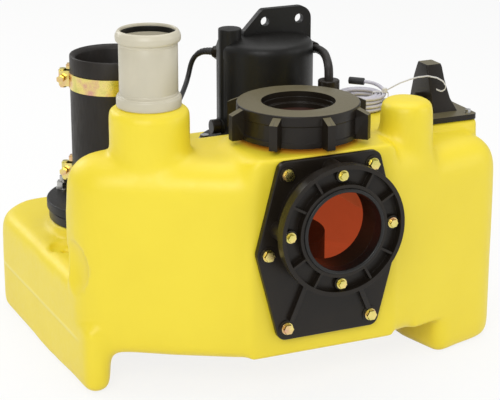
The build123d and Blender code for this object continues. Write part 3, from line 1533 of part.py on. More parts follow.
with BuildPart() as suction_plate:
    add(pipe(0, 0, volute_low_z - suction_plate_thickness, volute_low_z, volute_radius,
             suction_radius))
suction_plate.part.label = "suction_plate"
export_step(suction_plate.part, "parts/suction_plate.step")

impeller_top_z = roof_low_z - impeller_top_gap
impeller_low_z = impeller_top_z - impeller_plate - vane_height
with BuildPart() as impeller:
    add(pipe(0, 0, impeller_top_z - impeller_plate, impeller_top_z, impeller_radius))
    add(pipe(0, 0, impeller_low_z, impeller_top_z, impeller_hub_radius))
    with BuildSketch(level(0, 0, impeller_low_z)):
        for i in range(vane_count):
            with BuildLine(Plane.XY.rotated((0, 0, 360 * i / vane_count))):
                ThreePointArc((impeller_hub_radius - vane_width, 0),
                              ((impeller_radius + impeller_hub_radius) / 2, vane_bow),
                              (impeller_radius - vane_width, 0))
                offset(amount=vane_width / 2)
            make_face()
    extrude(amount=vane_height)
    add(pipe(0, 0, impeller_low_z, impeller_top_z, shaft_radius + rotor_fit), mode=Mode.SUBTRACT)
impeller.part.label = "impeller"
export_step(impeller.part, "parts/impeller.step")

with BuildPart() as impeller_screw:
    add(pipe(0, 0, impeller_low_z - impeller_screw_head, impeller_low_z, impeller_screw_radius))
    add(pipe(0, 0, impeller_low_z, shaft_low_z, shaft_radius))
    add(pipe(0, 0, impeller_low_z, shaft_low_z + impeller_screw_grip - screw_end_gap, m6_radius))
impeller_screw.part.label = "impeller_screw"
export_step(impeller_screw.part, "parts/impeller_screw.step")

# Pressure pipe from the volute to the valve
with BuildPart() as pressure_pipe:
    with BuildLine() as pressure_route:
        FilletPolyline(
            (nozzle_end_x + pressure_overlap, nozzle_y, nozzle_z),
            (valve_x, nozzle_y, nozzle_z),
            (valve_x, nozzle_y, socket_top_z),
            radius=bend_radius,
        )
    with BuildSketch(side_plane.offset(-nozzle_end_x - pressure_overlap)):
        Circle(pressure_outer)
        Circle(pressure_inner, mode=Mode.SUBTRACT)
    sweep(path=pressure_route.wires()[0])
pressure_pipe.part.label = "pressure_pipe"
export_step(pressure_pipe.part, "parts/pressure_pipe.step")

# Level sensor
plate_half_x = sensor_boss_width / 2 - sensor_margin
plate_half_y = sensor_boss_depth / 2 - sensor_margin
sensor_corners = [
    (sensor_x - plate_half_x, sensor_y - plate_half_y),
    (sensor_x + plate_half_x, sensor_y - plate_half_y),
    (sensor_x + plate_half_x, sensor_y + plate_half_y),
    (sensor_x - plate_half_x, sensor_y + plate_half_y),
]
sensor_seats = [p.offset(sensor_face_z - sensor_boss_top_z) for p in sensor_insert_seats]
# Levels of the tower as shares of its height, and its sides as shares of the plate's half sizes
tower_level_share = [0, 0.27, 0.67, 0.93, 1]
tower_left_share = [-0.163, -0.183, -0.202, -0.221, -0.202]
tower_right_share = [0.625, 0.433, 0.317, 0.279, 0.25]
tower_front_share = [-0.486, -0.39, -0.238, -0.143, -0.114]
tower_rear_share = [0.962, 0.848, 0.657, 0.467, 0.438]


def tower_level(step, inset):
    """Corners of one level of the tower, drawn in by inset."""
    left = sensor_x + tower_left_share[step] * plate_half_x + inset
    right = sensor_x + tower_right_share[step] * plate_half_x - inset
    near = sensor_y + tower_front_share[step] * plate_half_y + inset
    far = sensor_y + tower_rear_share[step] * plate_half_y - inset
    return [(left, near), (right, near), (right, far), (left, far)]


def tower(inset, top_drop):
    """Tower of the level sensor as a ruled loft through its levels."""
    with BuildPart() as made:
        for step in range(len(tower_level_share)):
            height = (tower_top_z - sensor_face_z) * tower_level_share[step]
            drop = top_drop if step == len(tower_level_share) - 1 else 0
            with BuildSketch(Plane.XY.offset(sensor_face_z + height - drop)):
                with BuildLine():
                    FilletPolyline(*tower_level(step, inset), radius=tower_round, close=True)
                make_face()
        loft(ruled=True)
    return made.part


with BuildPart() as sensor_gasket:
    with BuildSketch(level(0, 0, sensor_boss_top_z)):
        with BuildLine():
            FilletPolyline(*sensor_corners, radius=sensor_plate_round, close=True)
        make_face()
        with Locations((sensor_x, sensor_y)):
            Circle(sensor_opening_radius, mode=Mode.SUBTRACT)
    extrude(amount=sensor_gasket_thickness)
    add(rods([p.offset(sensor_gasket_thickness) for p in sensor_insert_seats], m5_radius + slip,
             sensor_gasket_thickness), mode=Mode.SUBTRACT)
sensor_gasket.part.label = "sensor_gasket"
export_step(sensor_gasket.part, "parts/sensor_gasket.step")

with BuildPart() as sensor_housing:
    with BuildSketch(level(0, 0, sensor_seat_z)):
        with BuildLine():
            FilletPolyline(*sensor_corners, radius=sensor_plate_round, close=True)
        make_face()
    extrude(amount=sensor_plate_thickness)
    add(tower(0, 0))
    add(tower(tower_wall, tower_wall), mode=Mode.SUBTRACT)
    add(pipe(sensor_x, sensor_y, guide_low_z, sensor_seat_z, guide_radius))
    add(pipe(sensor_x, sensor_y, guide_low_z, sensor_face_z, rod_radius + guide_clearance),
        mode=Mode.SUBTRACT)
    add(rods(sensor_seats, m5_radius + slip, sensor_plate_thickness), mode=Mode.SUBTRACT)
sensor_housing.part.label = "sensor_housing"
export_step(sensor_housing.part, "parts/sensor_housing.step")

with BuildPart() as sensor_screws:
    add(hex_screws(sensor_seats, m5_radius, m5_flats, m5_head, m5_washer_radius, m5_washer,
                   sensor_face_z - sensor_boss_top_z + small_insert_length - screw_end_gap))
sensor_screws.part.label = "sensor_screws"
export_step(sensor_screws.part, "parts/sensor_screws.step")

with BuildPart() as level_float:
    add(pipe(sensor_x, sensor_y, float_low_z, float_low_z + float_height, float_radius))
    fillet(level_float.edges(), radius=float_round)
level_float.part.label = "level_float"
export_step(level_float.part, "parts/level_float.step")

with BuildPart() as float_rod:
    add(pipe(sensor_x, sensor_y, float_low_z + float_height, rod_top_z, rod_radius))
float_rod.part.label = "float_rod"
export_step(float_rod.part, "parts/float_rod.step")

# Glands, vent riser and vent hose
gland_turn = radians(lead_gland_angle_deg)
gland_dir = (cos(gland_turn), sin(gland_turn), 0)
gland_start = motor_radius - motor_wall / 2
gland_tip = motor_radius + gland_length
tower_left_x = sensor_x + tower_left_share[1] * plate_half_x
with BuildPart() as cable_glands:
    with BuildSketch(Plane(origin=(gland_start * gland_dir[0], gland_start * gland_dir[1],
                                   lead_gland_z), x_dir=(0, 0, 1), z_dir=gland_dir)):
        RegularPolygon(gland_nut_flats / 2, 6, major_radius=False)
    extrude(amount=gland_nut + motor_wall / 2)
    with BuildSketch(Plane(origin=(gland_start * gland_dir[0], gland_start * gland_dir[1],
                                   lead_gland_z), x_dir=(0, 0, 1), z_dir=gland_dir)):
        Circle(gland_radius - motor_wall / 2)
    extrude(amount=gland_tip - gland_start)
    with BuildSketch(Plane(origin=(gland_start, elbow_y, elbow_z), x_dir=(0, 1, 0),
                           z_dir=(1, 0, 0))):
        Circle(elbow_radius)
    extrude(amount=elbow_x - gland_start)
    with BuildSketch(front(elbow_x, elbow_y, elbow_z)):
        Circle(elbow_radius)
    extrude(amount=elbow_y - elbow_end_y)
    with BuildSketch(front(elbow_x, elbow_y, elbow_z)):
        with BuildLine():
            Line((0, elbow_radius), (0, -elbow_radius))
            ThreePointArc((0, -elbow_radius), (elbow_radius, 0), (0, elbow_radius))
        make_face()
    revolve(axis=Axis((elbow_x, elbow_y, elbow_z), (0, 0, 1)))
    with BuildSketch(Plane(origin=(tower_left_x + tower_wall / 2, sensor_gland_y, sensor_gland_z),
                           x_dir=(0, 1, 0), z_dir=(-1, 0, 0))):
        Circle(sensor_gland_radius)
    extrude(amount=sensor_gland_length + tower_wall / 2)
    add(motor_housing.part, mode=Mode.SUBTRACT)
    add(sensor_housing.part, mode=Mode.SUBTRACT)
cable_glands.part.label = "cable_glands"
export_step(cable_glands.part, "parts/cable_glands.step")

with BuildPart() as vent_riser:
    add(pipe(riser_x, riser_y, body_top_z, body_top_z + riser_flange, riser_flange_radius))
    add(pipe(riser_x, riser_y, body_top_z, riser_top_z, riser_pipe_radius))
    add(pipe(riser_x, riser_y, riser_top_z - riser_socket_length, riser_top_z,
             riser_socket_radius))
    fillet(vent_riser.edges().group_by(Axis.Z)[-1], radius=flange_edge_round)
    add(pipe(riser_x, riser_y, body_top_z, riser_top_z - vent_hose_depth, riser_bore_radius),
        mode=Mode.SUBTRACT)
vent_riser.part.label = "vent_riser"
export_step(vent_riser.part, "parts/vent_riser.step")


def cord(points, radius, name):
    """Tube along straight runs joined by tangent arcs; prints the radii of the arcs."""
    radii = []
    for before, here, after in zip(points, points[1:], points[2:]):
        coming = Vector(*here) - Vector(*before)
        going = Vector(*after) - Vector(*here)
        turn = radians(coming.get_angle(going))
        radii.append(bend_share * min(coming.length, going.length) / tan(turn / 2))
    print(name, "arc radii", [round(r, 1) for r in radii])
    with BuildPart() as made:
        with BuildLine() as route:
            FilletPolyline(*points, radius=radii)
        with BuildSketch(Plane(origin=points[0], z_dir=Vector(*points[1]) - Vector(*points[0]))):
            Circle(radius)
        sweep(path=route.wires()[0])
    print(name, "volume over section times length",
          round(made.part.volume / (pi * radius ** 2 * route.wires()[0].length), 4))
    return made.part


vent_route = [
    (elbow_x, elbow_end_y, elbow_z),
    (elbow_x, -20, elbow_z),
    (elbow_x - 4.5, -43, 412.5),
    (elbow_x - 14.5, -72, 413.5),
    (elbow_x - 24.5, -97, 412.5),
    (elbow_x - 31, -113.5, 409),
    (riser_x, riser_y, 401.5),
    (riser_x, riser_y, riser_top_z),
]
with BuildPart() as vent_hose:
    add(cord(vent_route, vent_hose_radius, "vent hose"))
vent_hose.part.label = "vent_hose"
export_step(vent_hose.part, "parts/vent_hose.step")


def coil_point(t, turns, mid, pitch, peel, peel_turns, start_deg):
    """Angle, radius and layer height of a wound lead after t turns."""
    each = turns / coil_layers
    half = pitch * each / 2
    leg = min(int(t / each), coil_layers - 1)
    along = t - leg * each
    radius = mid + half - pitch * along if leg % 2 == 0 else mid - half + pitch * along
    height = 0
    for k in range(1, coil_layers):
        climb = min(max((t - k * each) / climb_turns + climb_turns, 0), 1)
        height += pitch * (1 - cos(pi * climb)) / 2
    lift = max(t - turns + peel_turns, 0) / peel_turns
    height += peel * (1 - cos(pi * lift)) / 2
    return radians(start_deg) + 2 * pi * t, radius, height


def coil(plane, turns, mid, pitch, wire, peel, peel_turns, start_deg, sense, name):
    """Wound lead as one tube on pairs of tangent arcs; prints its least gap to itself."""

    def place(t):
        a, r, h = coil_point(t, turns, mid, pitch, peel, peel_turns, start_deg)
        return plane.from_local_coords(Vector(r * cos(a), sense * r * sin(a), h))

    def heading(t):
        a = radians(start_deg) + 2 * pi * t
        if t <= 0 or t >= turns:
            way = Vector(-sin(a), sense * cos(a), 0)
            return (plane.from_local_coords(way) - plane.origin).normalized()
        return (place(t + slope_step) - place(t - slope_step)).normalized()

    plain = int((turns - peel_turns) / sample_turns)
    times = [i * sample_turns for i in range(plain + 1)]
    rest = turns - times[-1]
    count = max(int(rest / peel_sample_turns + 0.5), 1)
    times += [times[-1] + rest * (i + 1) / count for i in range(count)]
    with BuildPart() as made:
        with BuildLine() as route:
            first = place(0)
            Line(first - heading(0) * (2 * wire), first)
            for t0, t1 in zip(times, times[1:]):
                p0 = place(t0)
                p1 = place(t1)
                h0 = heading(t0)
                h1 = heading(t1)
                v = p1 - p0
                both = h0 + h1
                spread = 2 * (1 - h0.dot(h1))
                reach = (-v.dot(both) + sqrt(v.dot(both) ** 2 + spread * v.dot(v))) / spread
                middle = (p0 + p1 + (h0 - h1) * reach) * 0.5
                mid_way = ((p1 - h1 * reach) - (p0 + h0 * reach)).normalized()
                TangentArc(p0, middle, tangent=h0)
                TangentArc(middle, p1, tangent=mid_way)
            last = place(turns)
            Line(last, last + heading(turns) * (2 * wire))
        with BuildSketch(Plane(origin=first - heading(0) * (2 * wire), z_dir=heading(0))):
            Circle(wire)
        sweep(path=route.wires()[0])
    points = []
    travel = 0
    for edge in route.wires()[0].order_edges():
        steps = max(ceil(edge.length / wire), 2)
        points += [(travel + edge.length * i / steps, edge @ (i / steps)) for i in range(steps)]
        travel += edge.length
    least = min(
        (p - q).length
        for i, (s, p) in enumerate(points)
        for u, q in points[i + 1:]
        if u - s > 4 * wire
    )
    print(name, "length", round(travel), "least gap to itself", round(least - 2 * wire, 2),
          "volume over section times length",
          round(made.part.volume / (pi * wire ** 2 * travel), 4))
    return made.part, first - heading(0) * (2 * wire), last + heading(turns) * (2 * wire), heading(turns)


# Motor lead: coil behind the tall body, plug and free stretch
motor_coil_z = plinth_top_z + lay + motor_coil_mid_radius + motor_lead_radius \
    + motor_coil_pitch * motor_coil_turns / coil_layers / 2
motor_coil_y = rear_wall_y + coil_rest + motor_lead_radius
motor_plane = Plane(origin=(motor_coil_x, motor_coil_y, motor_coil_z), x_dir=(-1, 0, 0),
                    z_dir=(0, 1, 0))
wound, lead_start, lead_end, lead_way = coil(
    motor_plane, motor_coil_turns, motor_coil_mid_radius, motor_coil_pitch, motor_lead_radius,
    motor_coil_peel, sample_turns * 2, 0, -1, "motor cable coil")
with BuildPart() as motor_cable_coil:
    add(wound)
motor_cable_coil.part.label = "motor_cable_coil"
export_step(motor_cable_coil.part, "parts/motor_cable_coil.step")
print("motor coil starts", lead_start, "ends", lead_end)

with BuildPart() as motor_plug:
    add(turned(lead_end.X, lead_end.Y, [
        (0, plinth_top_z + lay),
        (motor_plug_radius, plinth_top_z + lay),
        (motor_plug_radius, lead_end.Z - motor_boot_length),
        (motor_boot_radius, lead_end.Z - motor_boot_length / 2),
        (motor_boot_radius, lead_end.Z),
        (0, lead_end.Z),
    ], [0, plug_round, plug_round, 0, 0, 0]))
motor_plug.part.label = "motor_plug"
export_step(motor_plug.part, "parts/motor_plug.step")

gland_tip_point = (gland_tip * gland_dir[0], gland_tip * gland_dir[1], lead_gland_z)
motor_route = [
    gland_tip_point,
    tuple((gland_tip + gland_run) * d for d in gland_dir[:2]) + (lead_gland_z,),
    (-76, 77, 397),
    (-93, 60, 389.5),
    (-117, 28, 378),
    (-146, -5, 362),
    (-176, -41, 342),
    (-202, -73, 318),
    (-224, -103, 290),
    (-237.5, -124.5, 260),
    (lead_start.X, lead_start.Y, 236),
    (lead_start.X, lead_start.Y, lead_start.Z),
]
with BuildPart() as motor_cable:
    add(cord(motor_route, motor_lead_radius, "motor cable"))
motor_cable.part.label = "motor_cable"
export_step(motor_cable.part, "parts/motor_cable.step")

# Sensor lead: coil on the shelf, plug and free stretch
sensor_coil_z = body_top_z + coil_rest + sensor_lead_radius
sensor_plane = level(sensor_coil_x, sensor_coil_y, sensor_coil_z)
wound, lead_start, lead_end, lead_way = coil(
    sensor_plane, sensor_coil_turns, sensor_coil_mid_radius, sensor_coil_pitch,
    sensor_lead_radius, sensor_coil_peel, sample_turns, 90, 1, "sensor cable coil")
with BuildPart() as sensor_cable_coil:
    add(wound)
sensor_cable_coil.part.label = "sensor_cable_coil"
export_step(sensor_cable_coil.part, "parts/sensor_cable_coil.step")
print("sensor coil starts", lead_start, "ends", lead_end)

with BuildPart() as sensor_plug:
    with BuildSketch(Plane(origin=lead_end, z_dir=lead_way)):
        Circle(sensor_plug_radius)
    extrude(amount=sensor_plug_length)
    fillet(sensor_plug.edges(), radius=plug_round / 2)
sensor_plug.part.label = "sensor_plug"
export_step(sensor_plug.part, "parts/sensor_plug.step")

sensor_tip_x = tower_left_x - sensor_gland_length
sensor_route = [
    (sensor_tip_x, sensor_gland_y, sensor_gland_z),
    (180, sensor_gland_y, sensor_gland_z),
    (169, -123, 347.2),
    (157, -108, 344.3),
    (144, -91, 342.2),
    (130, -78, 341.6),
    (119, lead_start.Y, lead_start.Z),
    (lead_start.X, lead_start.Y, lead_start.Z),
]
with BuildPart() as sensor_cable:
    add(cord(sensor_route, sensor_lead_radius, "sensor cable"))
sensor_cable.part.label = "sensor_cable"
export_step(sensor_cable.part, "parts/sensor_cable.step")

# Cable tie round the sensor lead's coil
tie_turn = radians(tie_angle_deg)
coil_half = sensor_coil_pitch * sensor_coil_turns / coil_layers / 2 + sensor_lead_radius
tie_low_z = body_top_z + (coil_rest - tie_thickness) / 2
tie_high_z = sensor_coil_z + (coil_layers - 1) * sensor_coil_pitch + sensor_lead_radius + tie_play
tie_way = (sin(tie_turn), -cos(tie_turn), 0)
tie_inner = sensor_coil_mid_radius - coil_half - tie_play
tie_outer = sensor_coil_mid_radius + coil_half + tie_play
tie_points = [
    (tie_inner, tie_low_z + tie_thickness),
    (tie_outer, tie_low_z + tie_thickness),
    (tie_outer, tie_high_z),
    (tie_inner, tie_high_z),
]
head_start = tie_outer - tie_head_length - tie_thickness
tail_route = [
    (tie_outer - tie_thickness, tie_high_z + tie_thickness + tie_head_height / 2),
    (47, 371.2),
    (58.9, 378),
    (73.6, 384.2),
    (85.4, 388),
    (100, 390.2),
    (113.5, 388),
    (122.6, 383.1),
    (127.3, 376.3),
    (126, 370.2),
    (120.2, 367.5),
    (113.5, 370.3),
]


def tie_plane(width):
    """Upright plane through the coil axis along the tie, half a width to one side of it."""
    return Plane(
        origin=(sensor_coil_x - tie_way[0] * width / 2, sensor_coil_y - tie_way[1] * width / 2, 0),
        x_dir=(cos(tie_turn), sin(tie_turn), 0),
        z_dir=tie_way,
    )


with BuildPart() as cable_tie:
    with BuildSketch(tie_plane(tie_width)):
        with BuildLine():
            FilletPolyline(*tie_points, radius=tie_corner_round, close=True)
        make_face()
        offset(amount=tie_thickness)
        with BuildLine():
            FilletPolyline(*tie_points, radius=tie_corner_round, close=True)
        make_face(mode=Mode.SUBTRACT)
    extrude(amount=tie_width)
    with BuildSketch(tie_plane(tie_head_width)):
        with Locations((head_start + tie_head_length / 2,
                        tie_high_z + tie_thickness / 2 + tie_head_height / 2)):
            Rectangle(tie_head_length, tie_head_height + tie_thickness)
    extrude(amount=tie_head_width)
    with BuildSketch(tie_plane(tie_width)):
        with BuildLine():
            FilletPolyline(*tail_route, radius=tail_round)
            offset(amount=tie_thickness / 2)
        make_face()
    extrude(amount=tie_width)
cable_tie.part.label = "cable_tie"
export_step(cable_tie.part, "parts/cable_tie.step")
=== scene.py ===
import json
import math

import bmesh
import bpy
from mathutils import Matrix, Vector


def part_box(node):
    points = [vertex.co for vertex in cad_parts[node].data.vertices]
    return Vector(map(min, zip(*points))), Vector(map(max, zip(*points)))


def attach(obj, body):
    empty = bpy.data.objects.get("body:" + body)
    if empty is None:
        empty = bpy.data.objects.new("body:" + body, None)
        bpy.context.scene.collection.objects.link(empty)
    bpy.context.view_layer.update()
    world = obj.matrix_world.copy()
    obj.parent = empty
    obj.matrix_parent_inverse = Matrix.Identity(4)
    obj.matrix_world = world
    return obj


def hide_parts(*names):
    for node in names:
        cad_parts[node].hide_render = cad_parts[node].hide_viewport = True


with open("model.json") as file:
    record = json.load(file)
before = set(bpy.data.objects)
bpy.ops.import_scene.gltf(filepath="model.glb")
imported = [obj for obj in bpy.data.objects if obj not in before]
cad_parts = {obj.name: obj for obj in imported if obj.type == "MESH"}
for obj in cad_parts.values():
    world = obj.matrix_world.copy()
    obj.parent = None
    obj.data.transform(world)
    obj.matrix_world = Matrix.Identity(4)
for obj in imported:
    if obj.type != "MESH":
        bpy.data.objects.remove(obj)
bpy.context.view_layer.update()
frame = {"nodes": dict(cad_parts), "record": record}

bl_info = {
    "name": "Sewage lifting station",
    "version": (1, 0, 0),
    "blender": (4, 5, 0),
    "location": "View3D > Sidebar > Lifting Station",
    "description": "Surfaces, cords and studio for a yellow tank with its pump, valve and inlets",
    "category": "Object",
}

MM = 0.001
NODES = frame["nodes"]
BODY_OF = {name: body for body, names in frame["record"]["behaviour"]["bodies"].items() for name in names}

# Places that the fittings share, in millimetres from the floor under the pump shaft
INLET = Vector((-56.5, -324.0, 250.0))
TOP_INLET = Vector((-56.5, -233.0, 380.0))
VENT = Vector((-264.5, -193.0, 403.0))
VALVE = Vector((-228.5, 47.0, 171.0))
SENSOR = Vector((209.5, -142.5, 325.0))
RISER = Vector((47.5, -122.0, 337.0))
SCOOP = Vector((-419.0, -184.0, 180.0))
DISHES = (Vector((-334.5, -26.0)), Vector((226.0, -26.0)))

# Radii of the pressed-in scoop and dishes with their rims, in millimetres
SCOOP_REACH = 92
DISH_REACH = 44

# Radii of the discharge hose and the lower edges of its two clamp bands, in millimetres
HOSE_RADIUS = 64.35
HOSE_BORE = 55.2
CLAMP_BANDS = (227.0, 371.5)

# Vertices nearer to each other than this, in metres, are one
MERGE = 2e-6


# ---------------------------------------------------------------- materials

# Sockets of the colour mix node: the colour at factor 0, the colour at factor 1 and the result
MIX_A, MIX_B, MIX_OUT = 6, 7, 2


def linear(code):
    """The linear colour of an sRGB hex value."""
    values = [int(code[i:i + 2], 16) / 255 for i in (1, 3, 5)]
    return [v / 12.92 if v <= 0.04045 else ((v + 0.055) / 1.055) ** 2.4 for v in values] + [1.0]


def add_node(tree, kind, values=None, links=None, **settings):
    """A node with its settings, socket values and links."""
    node = tree.nodes.new(kind)
    for key, value in settings.items():
        setattr(node, key, value)
    for key, value in (values or {}).items():
        node.inputs[key].default_value = value
    for key, source in (links or {}).items():
        tree.links.new(source, node.inputs[key])
    return node


def finish_of(name, deep, light, cloud, grain, height, roughness, spread=0.08, metallic=0.0, ior=1.5,
              coat=0.0, stretch=(1.0, 1.0, 1.0), details=None):
    """A finish whose colour drifts over `cloud` millimetres, with a surface grain of `grain` millimetres
    that stands `height` millimetres proud. `details` adds to a new finish and gets its tree, shader, colour
    ramp and bump. Returns the material, which is built once."""
    material = bpy.data.materials.get(name)
    if material:
        return material
    material = bpy.data.materials.new(name)
    material.use_nodes = True
    tree = material.node_tree
    shader = tree.nodes["Principled BSDF"]
    shader.inputs["Metallic"].default_value = metallic
    if not metallic:
        shader.inputs["IOR"].default_value = ior
    shader.inputs["Coat Weight"].default_value = coat
    place = add_node(tree, "ShaderNodeTexCoord")
    turn = add_node(tree, "ShaderNodeMapping", {"Scale": stretch}, {"Vector": place.outputs["Object"]})
    drift = add_node(tree, "ShaderNodeTexNoise", {"Scale": 1000 / cloud, "Detail": 3.0, "Roughness": 0.55},
                     {"Vector": turn.outputs["Vector"]})
    speck = add_node(tree, "ShaderNodeTexNoise", {"Scale": 1000 / grain, "Detail": 2.0, "Roughness": 0.5},
                     {"Vector": turn.outputs["Vector"]})
    tones = add_node(tree, "ShaderNodeValToRGB", None, {"Fac": drift.outputs["Fac"]})
    for stop, position, code in zip(tones.color_ramp.elements, (0.3, 0.7), (deep, light)):
        stop.position = position
        stop.color = linear(code)
    sheen = add_node(tree, "ShaderNodeMapRange", {
        "From Min": 0.25, "From Max": 0.75,
        "To Min": max(roughness - spread, 0.02), "To Max": min(roughness + spread, 1.0)},
        {"Value": speck.outputs["Fac"]})
    bump = add_node(tree, "ShaderNodeBump", {"Strength": 0.6, "Distance": height * MM},
                    {"Height": speck.outputs["Fac"]})
    tree.links.new(tones.outputs["Color"], shader.inputs["Base Color"])
    tree.links.new(sheen.outputs["Result"], shader.inputs["Roughness"])
    tree.links.new(bump.outputs["Normal"], shader.inputs["Normal"])
    if details:
        details(tree, shader, tones, bump)
    return material


def rotomoulded_polyethylene():
    # Rotomoulded polyethylene: lemon yellow, waxy, with a soft orange peel, the ridge of the mould's parting line with
    # a painted highlight along it, and painted orange shade on the neck
    looks = bpy.context.scene.station_colours
    return finish_of("Rotomoulded_polyethylene", looks.tank_deep, looks.tank_light, 160, 9, 0.35, 0.42, 0.05,
                     ior=1.49, details=parting_highlight_and_neck_shade)


def parting_highlight_and_neck_shade(tree, shader, tones, bump):
    """The ridge of the mould's parting line 75 mm up, with a painted pale highlight along it, and painted orange shade
    on the neck.
    """
    place = add_node(tree, "ShaderNodeTexCoord")
    axes = add_node(tree, "ShaderNodeSeparateXYZ", None, {"Vector": place.outputs["Object"]})
    away = add_node(tree, "ShaderNodeMath", {1: 0.075}, {0: axes.outputs["Z"]}, operation="SUBTRACT")
    off = add_node(tree, "ShaderNodeMath", None, {0: away.outputs[0]}, operation="ABSOLUTE")
    ridge = add_node(tree, "ShaderNodeMapRange",
                     {"From Min": 0.0008, "From Max": 0.0042, "To Min": 1.0, "To Max": 0.0},
                     {"Value": off.outputs[0]}, interpolation_type="SMOOTHSTEP")
    rear = add_node(tree, "ShaderNodeMapRange", {"From Min": -0.205, "From Max": -0.165}, {"Value": axes.outputs["Y"]},
                    interpolation_type="SMOOTHSTEP")
    line = add_node(tree, "ShaderNodeMath", None, {0: ridge.outputs["Result"], 1: rear.outputs["Result"]},
                    operation="MULTIPLY")
    seam = add_node(tree, "ShaderNodeBump", {"Strength": 0.7, "Distance": 0.8 * MM},
                    {"Height": line.outputs[0], "Normal": bump.outputs["Normal"]})
    tree.links.new(seam.outputs["Normal"], shader.inputs["Normal"])
    # Painted highlight: the ridge is painted lighter, as where it catches the light
    shade = add_node(tree, "ShaderNodeMath", {1: 0.45}, {0: line.outputs[0]}, operation="MULTIPLY")
    painted_ridge_highlight = add_node(tree, "ShaderNodeMix", {MIX_B: linear("#F8EC94")},
                     {0: shade.outputs[0], MIX_A: tones.outputs["Color"]}, data_type="RGBA")
    # Painted shade and light: under the screw ring the neck is painted orange, for the shade there and its own
    # reflected light
    across = add_node(tree, "ShaderNodeVectorMath", {1: (TOP_INLET.x * MM, TOP_INLET.y * MM, 0)},
                      {0: place.outputs["Object"]}, operation="SUBTRACT")
    across = add_node(tree, "ShaderNodeVectorMath", {1: (1, 1, 0)}, {0: across.outputs[0]}, operation="MULTIPLY")
    away = add_node(tree, "ShaderNodeVectorMath", None, {0: across.outputs[0]}, operation="LENGTH")
    near = add_node(tree, "ShaderNodeMapRange",
                    {"From Min": 0.080, "From Max": 0.094, "To Min": 1.0, "To Max": 0.0},
                    {"Value": away.outputs["Value"]})
    high = add_node(tree, "ShaderNodeMapRange", {"From Min": 0.326, "From Max": 0.340}, {"Value": axes.outputs["Z"]})
    neck = add_node(tree, "ShaderNodeMath", None, {0: near.outputs["Result"], 1: high.outputs["Result"]},
                    operation="MULTIPLY")
    painted_light = add_node(tree, "ShaderNodeMix", {MIX_B: linear("#D98A28")},
                    {0: neck.outputs[0], MIX_A: painted_ridge_highlight.outputs[MIX_OUT]}, data_type="RGBA")
    tree.links.new(painted_light.outputs[MIX_OUT], shader.inputs["Base Color"])


def tank_interior():
    # The same polyethylene, painted orange for its own reflected light, with painted shade that darkens it up in the
    # necks
    return finish_of("Polyethylene_inside", "#B85A34", "#CE7444", 120, 9, 0.4, 0.45, 0.05, ior=1.51,
                     details=painted_glow_and_neck_shade)


def painted_glow_and_neck_shade(tree, shader, tones, bump):
    """Painted emission, as of light between the walls, which fades out from 300 to 335 mm up, with painted shade that
    darkens the colour as it fades.
    """
    shader.inputs["Emission Color"].default_value = linear("#B45C36")
    place = add_node(tree, "ShaderNodeTexCoord")
    axes = add_node(tree, "ShaderNodeSeparateXYZ", None, {"Vector": place.outputs["Object"]})
    low = add_node(tree, "ShaderNodeMapRange", {"From Min": 0.30, "From Max": 0.335, "To Min": 1.0, "To Max": 0.0},
                   {"Value": axes.outputs["Z"]})
    painted_light = add_node(tree, "ShaderNodeMath", {1: 0.34}, {0: low.outputs["Result"]}, operation="MULTIPLY")
    tree.links.new(painted_light.outputs[0], shader.inputs["Emission Strength"])
    # Painted shade: the colour darkens up in the necks
    painted_neck_shade = add_node(tree, "ShaderNodeMix", {MIX_A: linear("#3A1C10")},
                    {0: low.outputs["Result"], MIX_B: tones.outputs["Color"]}, data_type="RGBA")
    tree.links.new(painted_neck_shade.outputs[MIX_OUT], shader.inputs["Base Color"])


def black_polypropylene():
    # Glass-filled polypropylene from a spark-eroded mould: near black, satin
    return finish_of("Moulded_black_polypropylene", "#1A1510", "#211B13", 60, 1.6, 0.10, 0.35, 0.06, ior=1.37)


def dust_and_sheen_polypropylene():
    # The same moulding with a dry olive dust and a painted sheen where it lies flat
    return finish_of("Dust_and_sheen_black_polypropylene", "#1A1510", "#211B13", 60, 1.6, 0.10, 0.35, 0.06, ior=1.37,
                     details=olive_dust_and_sheen)


def olive_dust_and_sheen(tree, shader, tones, bump):
    """Dust and a painted sheen, olive, on the faces that look up towards the light."""
    facing = add_node(tree, "ShaderNodeNewGeometry")
    axes = add_node(tree, "ShaderNodeSeparateXYZ", None, {"Vector": facing.outputs["Normal"]})
    flat = add_node(tree, "ShaderNodeMapRange", {"From Min": 0.86, "From Max": 0.98, "To Max": 0.85},
                    {"Value": axes.outputs["Z"]})
    # Dust and painted sheen: the colour turns olive where the face looks up
    dust_and_sheen = add_node(tree, "ShaderNodeMix", {MIX_B: linear("#6C6449")},
                     {0: flat.outputs["Result"], MIX_A: tones.outputs["Color"]}, data_type="RGBA")
    tree.links.new(dust_and_sheen.outputs[MIX_OUT], shader.inputs["Base Color"])


def grey_polypropylene():
    # Extruded and moulded pipe polypropylene: warm light grey, even, satin
    return finish_of("Grey_pipe_polypropylene", "#C2BCA8", "#CEC7B1", 90, 2.2, 0.06, 0.32, 0.05)


def moulded_rubber():
    # Press-moulded nitrile rubber: black and dull, with a little bloom
    return finish_of("Moulded_nitrile_rubber", "#0D0C0B", "#151412", 40, 1.2, 0.08, 0.40, 0.08, ior=1.45)


def hose_rubber():
    # Wrapped hose rubber: black with fine cloth marks drawn out along the hose, 3 mm apart so that they show
    return finish_of("Wrapped_hose_rubber", "#1A1613", "#27221D", 30, 3.0, 0.16, 0.50, 0.10, ior=1.42,
                     stretch=(1.0, 1.0, 0.18))


def cable_sheath():
    # Chloroprene cable sheath: black, slightly chalky
    return finish_of("Chloroprene_cable_sheath", "#141414", "#202020", 35, 1.0, 0.06, 0.50, 0.08, ior=1.52)


def pale_sheath():
    # Vinyl sensor cable sheath: pale lilac grey, smooth
    return finish_of("Pale_vinyl_cable_sheath", "#BDBAC2", "#CBC8D0", 35, 1.0, 0.04, 0.40, 0.06, ior=1.52)


